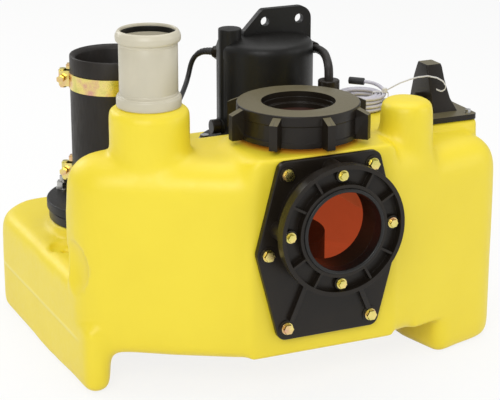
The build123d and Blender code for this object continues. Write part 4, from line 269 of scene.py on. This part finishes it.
def plug_rubber():
    # Moulded plug in thermoplastic rubber: black with a fine mould grain
    return finish_of("Moulded_plug_rubber", "#161616", "#1F1F1F", 30, 0.9, 0.08, 0.48, 0.06, ior=1.5)


def yellow_passivated_steel():
    # Zinc-plated steel with yellow passivation: metallic, and iridescent from straw green through gold to pink
    return finish_of("Yellow_passivated_steel", "#D2CC72", "#DCAA92", 24, 1.4, 0.03, 0.27, 0.07, metallic=1.0,
                     details=gold_between)


def gold_between(tree, shader, tones, bump):
    """Gold halfway between the straw green and the pink."""
    tones.color_ramp.elements.new(0.5).color = linear("#EFDC86")


def bright_zinc_steel():
    # Zinc-plated steel, cold-formed: bright grey with rolling marks
    return finish_of("Bright_zinc_steel", "#B9BABB", "#D6D7D8", 6, 0.8, 0.05, 0.33, 0.10, metallic=1.0)


def stainless_steel():
    # Turned stainless steel: grey, with turning marks too fine to show, drawn 0.8 mm apart
    return finish_of("Turned_stainless_steel", "#A9A8A4", "#C6C5C1", 14, 0.8, 0.04, 0.28, 0.08, metallic=1.0)


def brass():
    # Turned brass: warm yellow metal, lightly tarnished
    return finish_of("Turned_brass", "#B58E3C", "#D8B766", 8, 0.8, 0.03, 0.30, 0.08, metallic=1.0)


def coated_casting():
    # Cast iron under black dip paint: satin, with the sand mould's grain showing through
    return finish_of("Painted_cast_iron", "#100F0D", "#171613", 50, 2.4, 0.14, 0.44, 0.07, ior=1.38)


def bare_casting():
    # Cast iron with a thin grey primer: matt and grainy
    return finish_of("Primed_cast_iron", "#3A3C3E", "#4B4D4F", 40, 2.0, 0.35, 0.62, 0.08)


def lamination_steel():
    # Stacked electrical sheet: grey, in layers drawn 2 mm apart, as the real 0.5 mm ones are too fine to show
    return finish_of("Laminated_electrical_steel", "#5B5D60", "#85878A", 2, 2.0, 0.20, 0.45, 0.08, metallic=0.9,
                     stretch=(0.02, 0.02, 1.0))


def copper_winding():
    # Enamelled copper wire, wound and varnished: red-brown strands 1.5 mm wide under lacquer
    return finish_of("Enamelled_copper_winding", "#7A3416", "#C06A34", 1.5, 1.5, 0.30, 0.30, 0.06, metallic=0.6,
                     coat=0.5, stretch=(0.15, 0.15, 1.0))


def natural_polyamide():
    # Natural polyamide strap: milky, slightly translucent and glossy
    return finish_of("Natural_polyamide", "#C9C6C0", "#DEDCD7", 12, 1.2, 0.05, 0.34, 0.05, ior=1.53)


def float_polypropylene():
    # Blow-moulded polypropylene float: off white, smooth
    return finish_of("Blow_moulded_polypropylene", "#C4C2B8", "#D5D3CA", 40, 1.5, 0.06, 0.42, 0.06)


def ground_steel():
    # Ground bearing and shaft steel: bright, with fine marks round the axis
    return finish_of("Ground_bearing_steel", "#9C9EA1", "#C9CBCE", 10, 0.8, 0.03, 0.22, 0.06, metallic=1.0)


def studio_paper():
    # Seamless studio paper: pale and matt, and near white to the camera
    shade = bpy.context.scene.station_colours.floor
    return finish_of("Studio_paper", shade, shade, 400, 2.0, 0.02, 0.9, 0.02, details=white_to_camera)


def white_to_camera(tree, shader, tones, bump):
    """White mixed in for the rays that show the paper itself or its mirror image."""
    ray = add_node(tree, "ShaderNodeLightPath")
    seen = add_node(tree, "ShaderNodeMath", None, {0: ray.outputs["Is Camera Ray"], 1: ray.outputs["Is Glossy Ray"]},
                    operation="MAXIMUM")
    seen = add_node(tree, "ShaderNodeMath", None, {0: seen.outputs[0], 1: ray.outputs["Is Transmission Ray"]},
                    operation="MAXIMUM")
    part = add_node(tree, "ShaderNodeMath", {1: 0.84}, {0: seen.outputs[0]}, operation="MULTIPLY")
    white = add_node(tree, "ShaderNodeEmission", {"Color": (1, 1, 1, 1), "Strength": 1.0})
    mix = add_node(tree, "ShaderNodeMixShader", None,
                   {0: part.outputs[0], 1: shader.outputs[0], 2: white.outputs[0]})
    tree.links.new(mix.outputs[0], tree.nodes["Material Output"].inputs["Surface"])


# The finish of each CAD node, shown or not
FINISHES = {
    rotomoulded_polyethylene: ["tank_shell"],
    brass: ["threaded_inserts"],
    dust_and_sheen_polypropylene: ["top_screw_ring", "sensor_housing"],
    black_polypropylene: ["inlet_plate", "inlet_clamp_ring", "top_inlet_adapter", "valve_base",
                          "cable_glands", "vent_riser", "oil_plug", "pressure_pipe"],
    grey_polypropylene: ["vent_sleeve"],
    moulded_rubber: ["inlet_plate_gasket", "inlet_pipe_seal", "top_inlet_gasket", "vent_sleeve_seals", "valve_gasket",
                     "valve_flap", "pump_flange_gasket", "sensor_gasket", "shaft_seals"],
    hose_rubber: ["pressure_hose", "vent_hose"],
    cable_sheath: ["motor_cable", "motor_cable_coil"],
    pale_sheath: ["sensor_cable", "sensor_cable_coil"],
    plug_rubber: ["motor_plug", "sensor_plug"],
    yellow_passivated_steel: ["inlet_plate_screws", "inlet_ring_screws", "hose_clamps", "clamp_bolts"],
    bright_zinc_steel: ["sensor_screws", "housing_screws", "pump_flange_screws"],
    stainless_steel: ["flange_studs", "flange_washers", "flange_nuts", "flap_pin", "impeller_screw", "float_rod"],
    coated_casting: ["pump_flange", "motor_housing", "discharge_spigot"],
    bare_casting: ["pump_column", "oil_chamber", "volute", "suction_plate", "impeller"],
    lamination_steel: ["stator_core", "rotor_core"],
    copper_winding: ["stator_windings"],
    ground_steel: ["rotor_shaft", "upper_bearing", "lower_bearing"],
    natural_polyamide: ["cable_tie"],
    float_polypropylene: ["level_float"],
}


def finish_for(node):
    return next(make for make, names in FINISHES.items() if node in names)()


# ------------------------------------------------------------------- pieces


def place_piece(piece, body, slot, *nodes):
    """The piece rides on its body and stands for the nodes, which it hides. The slot is not used."""
    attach(piece, body)
    if nodes:
        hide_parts(*nodes)
    return piece


def piece_from(name, bm, material, sharp_deg=32):
    """An object made of the bmesh, smooth except across its sharp edges."""
    mesh = bpy.data.meshes.new(name)
    bm.to_mesh(mesh)
    bm.free()
    mesh.polygons.foreach_set("use_smooth", [True] * len(mesh.polygons))
    mesh.set_sharp_from_angle(angle=math.radians(sharp_deg))
    piece = bpy.data.objects.new(name, mesh)
    bpy.context.scene.collection.objects.link(piece)
    mesh.materials.append(material)
    return piece


def merged_copy(node):
    """A bmesh of the CAD node with its doubles merged."""
    bm = bmesh.new()
    bm.from_mesh(NODES[node].data)
    bmesh.ops.remove_doubles(bm, verts=bm.verts, dist=MERGE)
    return bm


def softened(node, name, width, angle_deg=32, segments=2):
    """The CAD node, its flat faces joined, with the small edge rounds of the real moulding or casting."""
    bm = merged_copy(node)
    bmesh.ops.dissolve_limit(bm, angle_limit=math.radians(0.6), use_dissolve_boundaries=False,
                             verts=bm.verts, edges=bm.edges)
    piece = piece_from(name, bm, finish_for(node))
    edge = piece.modifiers.new("edge round", "BEVEL")
    edge.width = width * MM
    edge.segments = segments
    edge.limit_method = "ANGLE"
    edge.angle_limit = math.radians(angle_deg)
    edge.use_clamp_overlap = True
    edge.harden_normals = True
    edge.miter_outer = "MITER_ARC"
    return place_piece(piece, BODY_OF[node], node, node)


def ramp(value, start, end):
    """0 up to start, 1 from end on and even between them."""
    return min(max((value - start) / (end - start), 0.0), 1.0)


def turned(bm, profile, centre, steps=128, closed=True):
    """Spins a profile of (radius, height) in millimetres about the upright line through centre."""
    start = [bm.verts.new((Vector((centre[0] + r, centre[1], centre[2] + z))) * MM) for r, z in profile]
    pairs = list(zip(start, start[1:])) + ([(start[-1], start[0])] if closed else [])
    edges = [bm.edges.new(p) for p in pairs]
    bmesh.ops.spin(bm, geom=start + edges, cent=Vector(centre) * MM, axis=(0, 0, 1), angle=2 * math.pi,
                   steps=steps, use_merge=True, use_duplicate=False)
    bmesh.ops.remove_doubles(bm, verts=bm.verts, dist=MERGE)
    bmesh.ops.recalc_face_normals(bm, faces=bm.faces)


def discs(bm, sizes, segments):
    """Adds an upright disc to the bmesh for each x, y, low z, high z and radius, in millimetres."""
    for x, y, low, high, radius in sizes:
        bmesh.ops.create_cone(bm, cap_ends=True, segments=segments, radius1=radius * MM, radius2=radius * MM,
                              depth=(high - low) * MM,
                              matrix=Matrix.Translation(Vector((x, y, (low + high) / 2)) * MM))


class StationColours(bpy.types.PropertyGroup):
    tank_light: bpy.props.StringProperty(
        name="Tank, lit", description="sRGB colour of the tank where it is pale", default="#F4DE36")
    tank_deep: bpy.props.StringProperty(
        name="Tank, deep", description="sRGB colour of the tank where it is deeper", default="#EFD832")
    floor: bpy.props.StringProperty(
        name="Floor", description="sRGB colour of the floor", default="#F4F4F2")


class TankSizes(bpy.types.PropertyGroup):
    wall: bpy.props.FloatProperty(
        name="Wall", description="Wall thickness of the moulding",
        default=5.0 * MM, min=0.002, max=0.01, unit="LENGTH")
    detail: bpy.props.FloatProperty(
        name="Detail", description="Spacing of the skin before it is smoothed",
        default=3.6 * MM, min=0.002, max=0.01, unit="LENGTH")
    smoothing: bpy.props.IntProperty(
        name="Smoothing", description="Passes that blend the tank's forms into each other",
        default=26, min=0, max=60)
    broad_smoothing: bpy.props.IntProperty(
        name="Broad smoothing", description="Further passes on the plinth's left edge and the front legs",
        default=60, min=0, max=200)
    triangles: bpy.props.IntProperty(
        name="Triangles", description="Triangles that the outer skin keeps",
        default=84000, min=10000, max=95000)


class StationTank(bpy.types.Operator):
    """Tank: the CAD forms run into each other as in a rotational moulding"""
    bl_idname = "station.tank"
    bl_label = "Tank"

    def execute(self, context):
        sizes = context.scene.station_tank
        bm = merged_copy("tank_shell")
        # Lids over the openings, so that the skin has an outside of its own
        discs(bm, ((0, 0, 247, 258, 90), (TOP_INLET.x, TOP_INLET.y, 372, 380, 73), (VENT.x, VENT.y, 436, 449, 36.5),
                   (VALVE.x, VALVE.y, 163, 171, 56), (SENSOR.x, SENSOR.y, 317, 325, 45),
                   (RISER.x, RISER.y, 329, 337, 10)), 64)
        lid = bmesh.ops.create_cube(bm, size=1.0)
        bmesh.ops.scale(bm, vec=(0.134, 0.007, 0.206), verts=lid["verts"])
        bmesh.ops.translate(bm, vec=Vector((-56.5, -320.5, 215)) * MM, verts=lid["verts"])
        skin = piece_from("tank_moulding", bm, rotomoulded_polyethylene())
        skin.data.materials.append(tank_interior())
        remesh = skin.modifiers.new("skin", "REMESH")
        remesh.mode = "VOXEL"
        remesh.voxel_size = sizes.detail
        self.freeze(skin)
        self.keep_largest(skin)
        self.blend(skin, sizes)
        thin = skin.modifiers.new("fewer faces", "DECIMATE")
        thin.ratio = min(1.0, sizes.triangles / (2 * len(skin.data.polygons)))
        wall = skin.modifiers.new("wall", "SOLIDIFY")
        wall.thickness = sizes.wall
        wall.offset = -1.0
        wall.material_offset = 1
        self.freeze(skin)
        # The openings, cut through the wall
        bm = bmesh.new()
        discs(bm, ((0, 0, 240, 270, 82), (TOP_INLET.x, TOP_INLET.y, 320, 390, 69), (VENT.x, VENT.y, 390, 460, 33.5),
                   (VALVE.x, VALVE.y, 155, 180, 48.2), (SENSOR.x, SENSOR.y, 305, 335, 40),
                   (RISER.x, RISER.y, 325, 345, 6.5)), 96)
        turn = Matrix.Rotation(math.radians(90), 4, "X")
        bmesh.ops.create_cone(bm, cap_ends=True, segments=96, radius1=62 * MM, radius2=62 * MM, depth=30 * MM,
                              matrix=Matrix.Translation(Vector((INLET.x, INLET.y + 4, INLET.z)) * MM) @ turn)
        cutter = piece_from("tank_cutter", bm, tank_interior())
        cut = skin.modifiers.new("openings", "BOOLEAN")
        cut.operation = "DIFFERENCE"
        cut.solver = "FAST"
        cut.object = cutter
        self.freeze(skin)
        bpy.data.objects.remove(cutter)
        skin.data.polygons.foreach_set("use_smooth", [True] * len(skin.data.polygons))
        skin.data.set_sharp_from_angle(angle=math.radians(50))
        place_piece(skin, "tank", "tank_shell", "tank_shell")
        return {"FINISHED"}

    def keep_largest(self, skin):
        """The skin keeps the shell with the most vertices, which is the outer one."""
        bm = bmesh.new()
        bm.from_mesh(skin.data)
        left = set(bm.verts)
        shells = []
        while left:
            first = left.pop()
            shell, edge = [first], [first]
            while edge:
                vert = edge.pop()
                for e in vert.link_edges:
                    other = e.other_vert(vert)
                    if other in left:
                        left.remove(other)
                        shell.append(other)
                        edge.append(other)
            shells.append(shell)
        shells.sort(key=len)
        for shell in shells[:-1]:
            bmesh.ops.delete(bm, geom=shell, context="VERTS")
        bm.to_mesh(skin.data)
        bm.free()

    def blend(self, skin, sizes):
        """Smooths the skin: little at the pressed-in scoop and dishes, which keep their rims, and further along
        the plinth's left edge, down the front legs and at the shoulders beside the inlet."""
        groups = [skin.vertex_groups.new(name=name) for name in ("blend", "broad")]
        for vert in skin.data.vertices:
            x, y, z = vert.co / MM
            clear = min([(Vector((x, y, z)) - SCOOP).length - SCOOP_REACH]
                        + [math.hypot(x - dish.x, y - dish.y) - DISH_REACH for dish in DISHES])
            clear = ramp(clear, 0, 25)
            groups[0].add([vert.index], 0.2 + 0.8 * clear, "REPLACE")
            edge = ramp(-x, 320, 345) * ramp(z, 85, 110)
            leg = ramp(abs(x + 55), 205, 245) * ramp(-y, 90, 150) * ramp(-z, -175, -135)
            shoulder = ramp(abs(x + 56), 98, 112) * ramp(-y, 215, 255) * ramp(z, 230, 280)
            broad = clear * max(edge, leg, shoulder)
            if broad > 0:
                groups[1].add([vert.index], broad, "REPLACE")
        for group, passes in zip(groups, (sizes.smoothing, sizes.broad_smoothing)):
            smooth = skin.modifiers.new(group.name, "SMOOTH")
            smooth.factor = 0.5
            smooth.iterations = passes
            smooth.vertex_group = group.name

    def freeze(self, piece):
        """The piece's modifiers become its mesh."""
        evaluated = piece.evaluated_get(bpy.context.evaluated_depsgraph_get())
        mesh = bpy.data.meshes.new_from_object(evaluated)
        piece.modifiers.clear()
        piece.data = mesh


class StationInlet(bpy.types.Operator):
    """Front inlet: plate, clamp ring, seal and their screws"""
    bl_idname = "station.inlet"
    bl_label = "Front inlet"

    def execute(self, context):
        softened("inlet_plate", "inlet_plate_moulding", 0.7)
        softened("inlet_clamp_ring", "clamp_ring_moulding", 0.6)
        softened("inlet_pipe_seal", "pipe_seal_moulding", 0.4)
        softened("inlet_plate_screws", "plate_screws", 0.35)
        softened("inlet_ring_screws", "ring_screws", 0.3)
        return {"FINISHED"}


class StationTopInlet(bpy.types.Operator):
    """Top inlet: adapter and the screw ring with its lugs"""
    bl_idname = "station.top_inlet"
    bl_label = "Top inlet"

    def execute(self, context):
        softened("top_screw_ring", "screw_ring_moulding", 1.1, segments=3)
        softened("top_inlet_adapter", "adapter_moulding", 0.8)
        return {"FINISHED"}


class StationVent(bpy.types.Operator):
    """Vent sleeve with its two seals"""
    bl_idname = "station.vent"
    bl_label = "Vent sleeve"

    def execute(self, context):
        # Collars that swell over the seals, a thin lip at the mouth and a fine step where each collar meets the body
        low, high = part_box("vent_sleeve")
        z0, z1 = low.z / MM, high.z / MM
        bm = bmesh.new()
        turned(bm, [
            # The bore with the seal grooves and the stop between the two pipes
            (38.9, z0), (38.1, z0 + 0.9), (38.1, z0 + 4), (41.9, z0 + 4), (41.9, z0 + 12), (38.1, z0 + 12),
            (38.1, z0 + 52), (33.7, z0 + 52), (33.7, z0 + 55), (37.7, z0 + 55), (37.7, z1 - 12), (41.9, z1 - 12),
            (41.9, z1 - 4), (37.8, z1 - 4),
            # The lip and the upper collar
            (37.8, z1 - 2.2), (38.4, z1 - 0.6), (39.2, z1), (40.2, z1 - 0.1), (41.6, z1 - 1.0), (42.9, z1 - 2.7),
            (43.7, z1 - 4.6), (44.0, z1 - 5.2), (44.7, z1 - 6.4), (45.0, z1 - 8.4), (45.0, z1 - 11.5),
            (44.7, z1 - 13.6), (43.8, z1 - 15.4), (42.4, z1 - 16.6), (41.1, z1 - 17.0), (40.6, z1 - 17.6),
            # The body between its two fine steps
            (40.6, z1 - 20.4), (40.3, z1 - 20.9), (40.6, z1 - 21.4), (40.6, z0 + 21.4), (40.3, z0 + 20.9),
            (40.6, z0 + 20.4),
            # The lower collar
            (40.6, z0 + 17.6), (41.2, z0 + 17.0), (42.7, z0 + 16.8), (43.5, z0 + 16.0), (43.7, z0 + 14.8),
            (44.5, z0 + 14.2), (45.0, z0 + 12.8), (45.0, z0 + 3.0), (44.7, z0 + 1.2), (43.9, z0 + 0.3),
            (42.8, z0)], (VENT.x, VENT.y, 0))
        sleeve = piece_from("vent_sleeve_moulding", bm, grey_polypropylene(), 38)
        place_piece(sleeve, "tank", "vent_sleeve", "vent_sleeve")
        softened("vent_sleeve_seals", "vent_lip_seals", 1.2, segments=3)
        return {"FINISHED"}


class StationDischarge(bpy.types.Operator):
    """Discharge: valve base, spigot, hose, clamps and flange bolts"""
    bl_idname = "station.discharge"
    bl_label = "Discharge"

    def execute(self, context):
        softened("valve_base", "valve_base_moulding", 0.7)
        softened("discharge_spigot", "spigot_casting", 0.8)
        softened("hose_clamps", "hose_clamp_bands", 0.6, segments=3)
        softened("clamp_bolts", "clamp_bolt_set", 0.3)
        softened("flange_nuts", "nuts_on_flange", 0.5)
        softened("flange_washers", "washers_on_flange", 0.3)
        softened("flange_studs", "studs_in_flange", 0.4)
        # Hose: wall pressed in under each clamp band, with a soft swell beside it
        low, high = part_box("pressure_hose")
        bm = bmesh.new()
        outer, inner = HOSE_RADIUS, HOSE_BORE
        z0, z1 = low.z / MM, high.z / MM
        line = [(inner, z0 + 1.2), (inner + 1.2, z0), (outer - 1.6, z0), (outer, z0 + 1.6)]
        for band in CLAMP_BANDS:
            line += [(outer, band - 5), (outer + 0.35, band - 1.5), (outer - 0.1, band + 0.5),
                     (outer - 0.1, band + 23.5), (outer + 0.35, band + 25.5), (outer, band + 29)]
        line += [(outer, z1 - 2.0), (outer - 0.6, z1 - 0.6), (outer - 2.0, z1), (outer - 3.4, z1 - 0.5),
                 (inner + 1.0, z1 - 4.5), (inner, z1 - 7.5)]
        turned(bm, line, (VALVE.x, VALVE.y, 0))
        hose = piece_from("discharge_hose", bm, hose_rubber(), 50)
        place_piece(hose, "tank", "pressure_hose", "pressure_hose")
        return {"FINISHED"}


class StationPump(bpy.types.Operator):
    """Pump drive: motor housing, flange and their screws"""
    bl_idname = "station.pump"
    bl_label = "Pump drive"

    def execute(self, context):
        softened("motor_housing", "motor_housing_casting", 1.2, segments=3)
        # Crown of the housing with the broad shoulder of the casting
        bm = bmesh.new()
        turned(bm, [(0, 409), (73.5, 409), (73.5, 420), (73.2, 423.4), (72.2, 426.8), (70.3, 429.8), (67.4, 432.2),
                    (63.4, 434.0), (56, 436.2), (45, 438.4), (32, 440.0), (16, 441.0), (0, 441.3)],
               (0, 0, 0), closed=False)
        place_piece(piece_from("motor_housing_crown", bm, coated_casting()), "tank", "motor_housing")
        softened("pump_flange", "pump_flange_casting", 1.0)
        softened("pump_flange_screws", "pump_screws", 0.35)
        softened("housing_screws", "motor_screws", 0.3)
        softened("oil_plug", "oil_plug_knob", 0.8)
        return {"FINISHED"}


class StationSensor(bpy.types.Operator):
    """Level sensor: housing, screws, glands and the cable tie"""
    bl_idname = "station.sensor"
    bl_label = "Level sensor"

    def execute(self, context):
        softened("sensor_housing", "sensor_housing_moulding", 1.2, segments=3)
        softened("sensor_screws", "sensor_screw_set", 0.3)
        softened("cable_glands", "gland_nuts", 0.5)
        softened("vent_riser", "riser_moulding", 0.5)
        softened("cable_tie", "tie_strap", 0.25)
        return {"FINISHED"}


# -------------------------------------------------------------------- cords


def coil_points(origin, across, up, layer, sense, start_deg, turns, mid, pitch, peel, peel_turns):
    """Control points of a coil in four layers, 16 to a turn, in millimetres. Its turns lie round a circle of
    radius `mid` in the plane of `across` and `up`, its layers follow each other along `layer`, and the last
    `peel_turns` rise by `peel`. A spline of order 3 passes inside its control points, so they stand off by
    that much."""
    origin, across, up, layer = Vector(origin), Vector(across), Vector(up), Vector(layer)
    each = turns / 4
    half = pitch * each / 2
    per_turn = 16
    stand_off = 1 / math.cos(math.pi / per_turn)
    points = []
    count = int(round(turns * per_turn))
    for i in range(count + 1):
        t = turns * i / count
        leg = min(int(t / each), 3)
        along = t - leg * each
        radius = mid + half - pitch * along if leg % 2 == 0 else mid - half + pitch * along
        rise = 0.0
        for k in (1, 2, 3):
            # The step up to the next layer takes half a turn
            share = min(max((t - k * each) / 0.5 + 0.5, 0.0), 1.0)
            rise += pitch * (1 - math.cos(math.pi * share)) / 2
        rise += peel * (1 - math.cos(math.pi * max(t - turns + peel_turns, 0) / peel_turns)) / 2
        angle = math.radians(start_deg) + 2 * math.pi * t
        radius *= stand_off
        points.append(origin + across * radius * math.cos(angle) + up * sense * radius * math.sin(angle)
                      + layer * rise)
    return points


def cord_curve(name, points, radius, material, resolution=5):
    """A round cord along a smooth spline through the route's control points, in millimetres."""
    curve = bpy.data.curves.new(name, "CURVE")
    curve.dimensions = "3D"
    spline = curve.splines.new("NURBS")
    spline.points.add(len(points) - 1)
    for target, p in zip(spline.points, points):
        target.co = (p[0] * MM, p[1] * MM, p[2] * MM, 1.0)
    spline.order_u = 3
    spline.use_endpoint_u = True
    spline.resolution_u = resolution
    curve.bevel_depth = radius * MM
    curve.bevel_resolution = 3
    curve.use_fill_caps = True
    curve.materials.append(material)
    piece = bpy.data.objects.new(name, curve)
    bpy.context.scene.collection.objects.link(piece)
    return piece


# Routes of the cords from the gland or socket on, in millimetres. The leads run on into their coils
MOTOR_RUN = [(-55.07, 68.0, 402), (-64.1, 79.2, 402), (-71.8, 88.6, 397), (-77.6, 95.9, 387.7), (-80.8, 99.7, 375.6),
             (-84.5, 98.5, 362), (-92, 91, 350), (-105, 72, 343), (-123, 43, 339), (-147, 7, 335), (-175, -34, 329),
             (-203, -74, 315), (-224, -103, 290), (-237.5, -124.5, 260), (-244.475, -134.4, 236)]
SENSOR_RUN = [(189.98, -128, 350), (180, -128, 350), (169, -123, 347.2), (157, -108, 344.3), (144, -91, 342.2),
              (130, -78, 341.6), (119, -71.594, 341.35)]
VENT_RUN = [(82, -6, 410.5), (82, -20, 410.5), (77.5, -43, 412.5), (67.5, -72, 413.5), (57.5, -97, 412.5),
            (51, -113.5, 409), (47.5, -122, 401.5), (47.5, -122, 391)]


# Stations along a strain relief and vertices round it
RELIEF_STEPS = 24
RELIEF_SIDES = 24


def strain_relief(cord, name, length, thick, thin, material):
    """A ringed rubber sleeve that follows the first `length` millimetres of the cord and tapers towards it."""
    line = cord.copy()
    line.data = cord.data.copy()
    line.data.bevel_depth = 0.0
    bpy.context.scene.collection.objects.link(line)
    drawn = line.evaluated_get(bpy.context.evaluated_depsgraph_get())
    points = [v.co.copy() for v in bpy.data.meshes.new_from_object(drawn).vertices]
    bpy.data.objects.remove(line)
    # Evenly spaced stations along the cord, each with its place and its direction
    stations, step, walked, target = [], length / RELIEF_STEPS, 0.0, 0.0
    for a, b in zip(points, points[1:]):
        reach = (b - a).length / MM
        while reach and target <= walked + reach and target <= length + 1e-6:
            stations.append((a.lerp(b, (target - walked) / reach), (b - a).normalized()))
            target += step
        walked += reach
    bm = bmesh.new()
    rings = []
    side = stations[0][1].cross(Vector((0, 0, 1))).normalized()
    for i, (centre, ahead) in enumerate(stations):
        side = (side - ahead * side.dot(ahead)).normalized()
        other = ahead.cross(side)
        # Every fourth station lies in a groove half a millimetre deep
        radius = thick + (thin - thick) * i / (len(stations) - 1) - (0.5 if i % 4 == 3 else 0.0)
        rings.append([bm.verts.new(centre + (side * math.cos(a) + other * math.sin(a)) * radius * MM)
                      for a in (2 * math.pi * k / RELIEF_SIDES for k in range(RELIEF_SIDES))])
    for near, far in zip(rings, rings[1:]):
        for k in range(RELIEF_SIDES):
            after = (k + 1) % RELIEF_SIDES
            bm.faces.new((near[k], near[after], far[after], far[k]))
    bm.faces.new(list(reversed(rings[0])))
    bm.faces.new(rings[-1])
    bmesh.ops.recalc_face_normals(bm, faces=bm.faces)
    return piece_from(name, bm, material, 40)


class StationCords(bpy.types.Operator):
    """Cords: the motor lead, the sensor lead and the vent hose between motor and tank"""
    bl_idname = "station.cords"
    bl_label = "Cords"

    def execute(self, context):
        coil = coil_points((-186.5, -134.4, 217.275), (-1, 0, 0), (0, 0, 1), (0, 1, 0), -1, 0, 13.0, 44.0, 8.6,
                           22.0, 0.5)
        motor = cord_curve("motor_lead", MOTOR_RUN + coil + [(-244.475, -86.6, 209.275)], 4.0, cable_sheath())
        place_piece(motor, "tank", "motor_cable", "motor_cable", "motor_cable_coil")
        plug = softened("motor_plug", "motor_lead_plug", 1.0)
        sleeve = place_piece(strain_relief(motor, "motor_lead_strain_relief", 30, 6.2, 4.5, cable_sheath()),
                             "tank", "motor_cable")
        coil = coil_points((107.5, -109, 341.35), (1, 0, 0), (0, 1, 0), (0, 0, 1), 1, 90, 9.875, 30.0, 6.0,
                           9.5, 0.25)
        sensor = cord_curve("sensor_lead", SENSOR_RUN + coil + [(130.061, -78.661, 368.85)], 2.75, pale_sheath())
        place_piece(sensor, "tank", "sensor_cable", "sensor_cable", "sensor_cable_coil")
        plug = softened("sensor_plug", "sensor_lead_plug", 0.6)
        sleeve = place_piece(strain_relief(sensor, "sensor_lead_strain_relief", 14, 4.2, 3.1, plug_rubber()),
                             "tank", "sensor_cable")
        hose = cord_curve("vent_hose_bend", VENT_RUN, 6.6, hose_rubber(), 8)
        place_piece(hose, "tank", "vent_hose", "vent_hose")
        return {"FINISHED"}


class StationStudio(bpy.types.Operator):
    """Studio: floor, lamps, world and camera"""
    bl_idname = "station.studio"
    bl_label = "Studio"

    def execute(self, context):
        scene = context.scene
        bm = bmesh.new()
        bmesh.ops.create_grid(bm, x_segments=8, y_segments=8, size=14.0)
        floor = bpy.data.meshes.new("studio_floor")
        bm.to_mesh(floor)
        bm.free()
        floor = bpy.data.objects.new("studio_floor", floor)
        scene.collection.objects.link(floor)
        floor.data.materials.append(studio_paper())

        world = bpy.data.worlds.new("studio_world")
        world.use_nodes = True
        tree = world.node_tree
        ray = add_node(tree, "ShaderNodeLightPath")
        strength = add_node(tree, "ShaderNodeMapRange", {"To Min": 0.5, "To Max": 1.0},
                            {"Value": ray.outputs["Is Camera Ray"]})
        back = tree.nodes["Background"]
        back.inputs["Color"].default_value = (1, 1, 1, 1)
        tree.links.new(strength.outputs["Result"], back.inputs["Strength"])
        scene.world = world

        # Name, place and aim, side in metres and power in watts
        for name, place, aim, size, power in (
                ("key_softbox", (-1.9, -2.6, 2.2), (-0.05, -0.1, 0.2), 1.7, 49),
                ("fill_softbox", (2.4, -1.8, 1.3), (0.0, -0.1, 0.2), 1.9, 15),
                ("top_softbox", (0.2, 0.3, 2.6), (0.0, 0.0, 0.2), 2.2, 25),
                ("rear_softbox", (-1.2, 2.4, 1.6), (0.0, 0.0, 0.3), 1.4, 18)):
            lamp = bpy.data.lights.new(name, "AREA")
            lamp.shape = "SQUARE"
            lamp.size = size
            lamp.energy = power
            holder = bpy.data.objects.new(name, lamp)
            holder.location = place
            holder.rotation_euler = (Vector(aim) - Vector(place)).to_track_quat("-Z", "Y").to_euler()
            scene.collection.objects.link(holder)

        camera = bpy.data.cameras.new("station_camera")
        # A focal length of 3.6 picture widths
        camera.lens = 129.6
        camera.sensor_width = 36.0
        camera.clip_end = 100.0
        holder = bpy.data.objects.new("station_camera", camera)
        holder.location = (-1.1268, -2.4187, 1.0511)
        holder.rotation_euler = (math.radians(71.8), 0.0, math.radians(-24.5))
        scene.collection.objects.link(holder)
        scene.camera = holder
        scene.view_settings.view_transform = "Standard"
        return {"FINISHED"}


class StationFinishes(bpy.types.Operator):
    """Finishes: every CAD node gets the finish of its real material"""
    bl_idname = "station.finishes"
    bl_label = "Finishes"

    def execute(self, context):
        for make, names in FINISHES.items():
            for name in names:
                for slot in NODES[name].material_slots:
                    slot.material = make()
        return {"FINISHED"}


PIECES = (StationStudio, StationFinishes, StationCords, StationTank, StationInlet, StationTopInlet, StationVent,
          StationDischarge, StationPump, StationSensor)


class StationPanel(bpy.types.Panel):
    bl_idname = "VIEW3D_PT_station"
    bl_label = "Lifting Station"
    bl_space_type = "VIEW_3D"
    bl_region_type = "UI"
    bl_category = "Lifting Station"

    def draw(self, context):
        for group in (context.scene.station_colours, context.scene.station_tank):
            box = self.layout.box()
            for key in group.__annotations__:
                box.prop(group, key)
        for piece in PIECES:
            self.layout.operator(piece.bl_idname)


CLASSES = (StationColours, TankSizes) + PIECES + (StationPanel,)


def register():
    for each in CLASSES:
        bpy.utils.register_class(each)
    bpy.types.Scene.station_colours = bpy.props.PointerProperty(type=StationColours)
    bpy.types.Scene.station_tank = bpy.props.PointerProperty(type=TankSizes)


def unregister():
    del bpy.types.Scene.station_tank
    del bpy.types.Scene.station_colours
    for each in reversed(CLASSES):
        bpy.utils.unregister_class(each)


def main():
    register()
    bpy.ops.station.studio()
    bpy.ops.station.finishes()
    bpy.ops.station.cords()
    bpy.ops.station.tank()
    bpy.ops.station.inlet()
    bpy.ops.station.top_inlet()
    bpy.ops.station.vent()
    bpy.ops.station.discharge()
    bpy.ops.station.pump()
    bpy.ops.station.sensor()


if __name__ == "__main__":
    main()
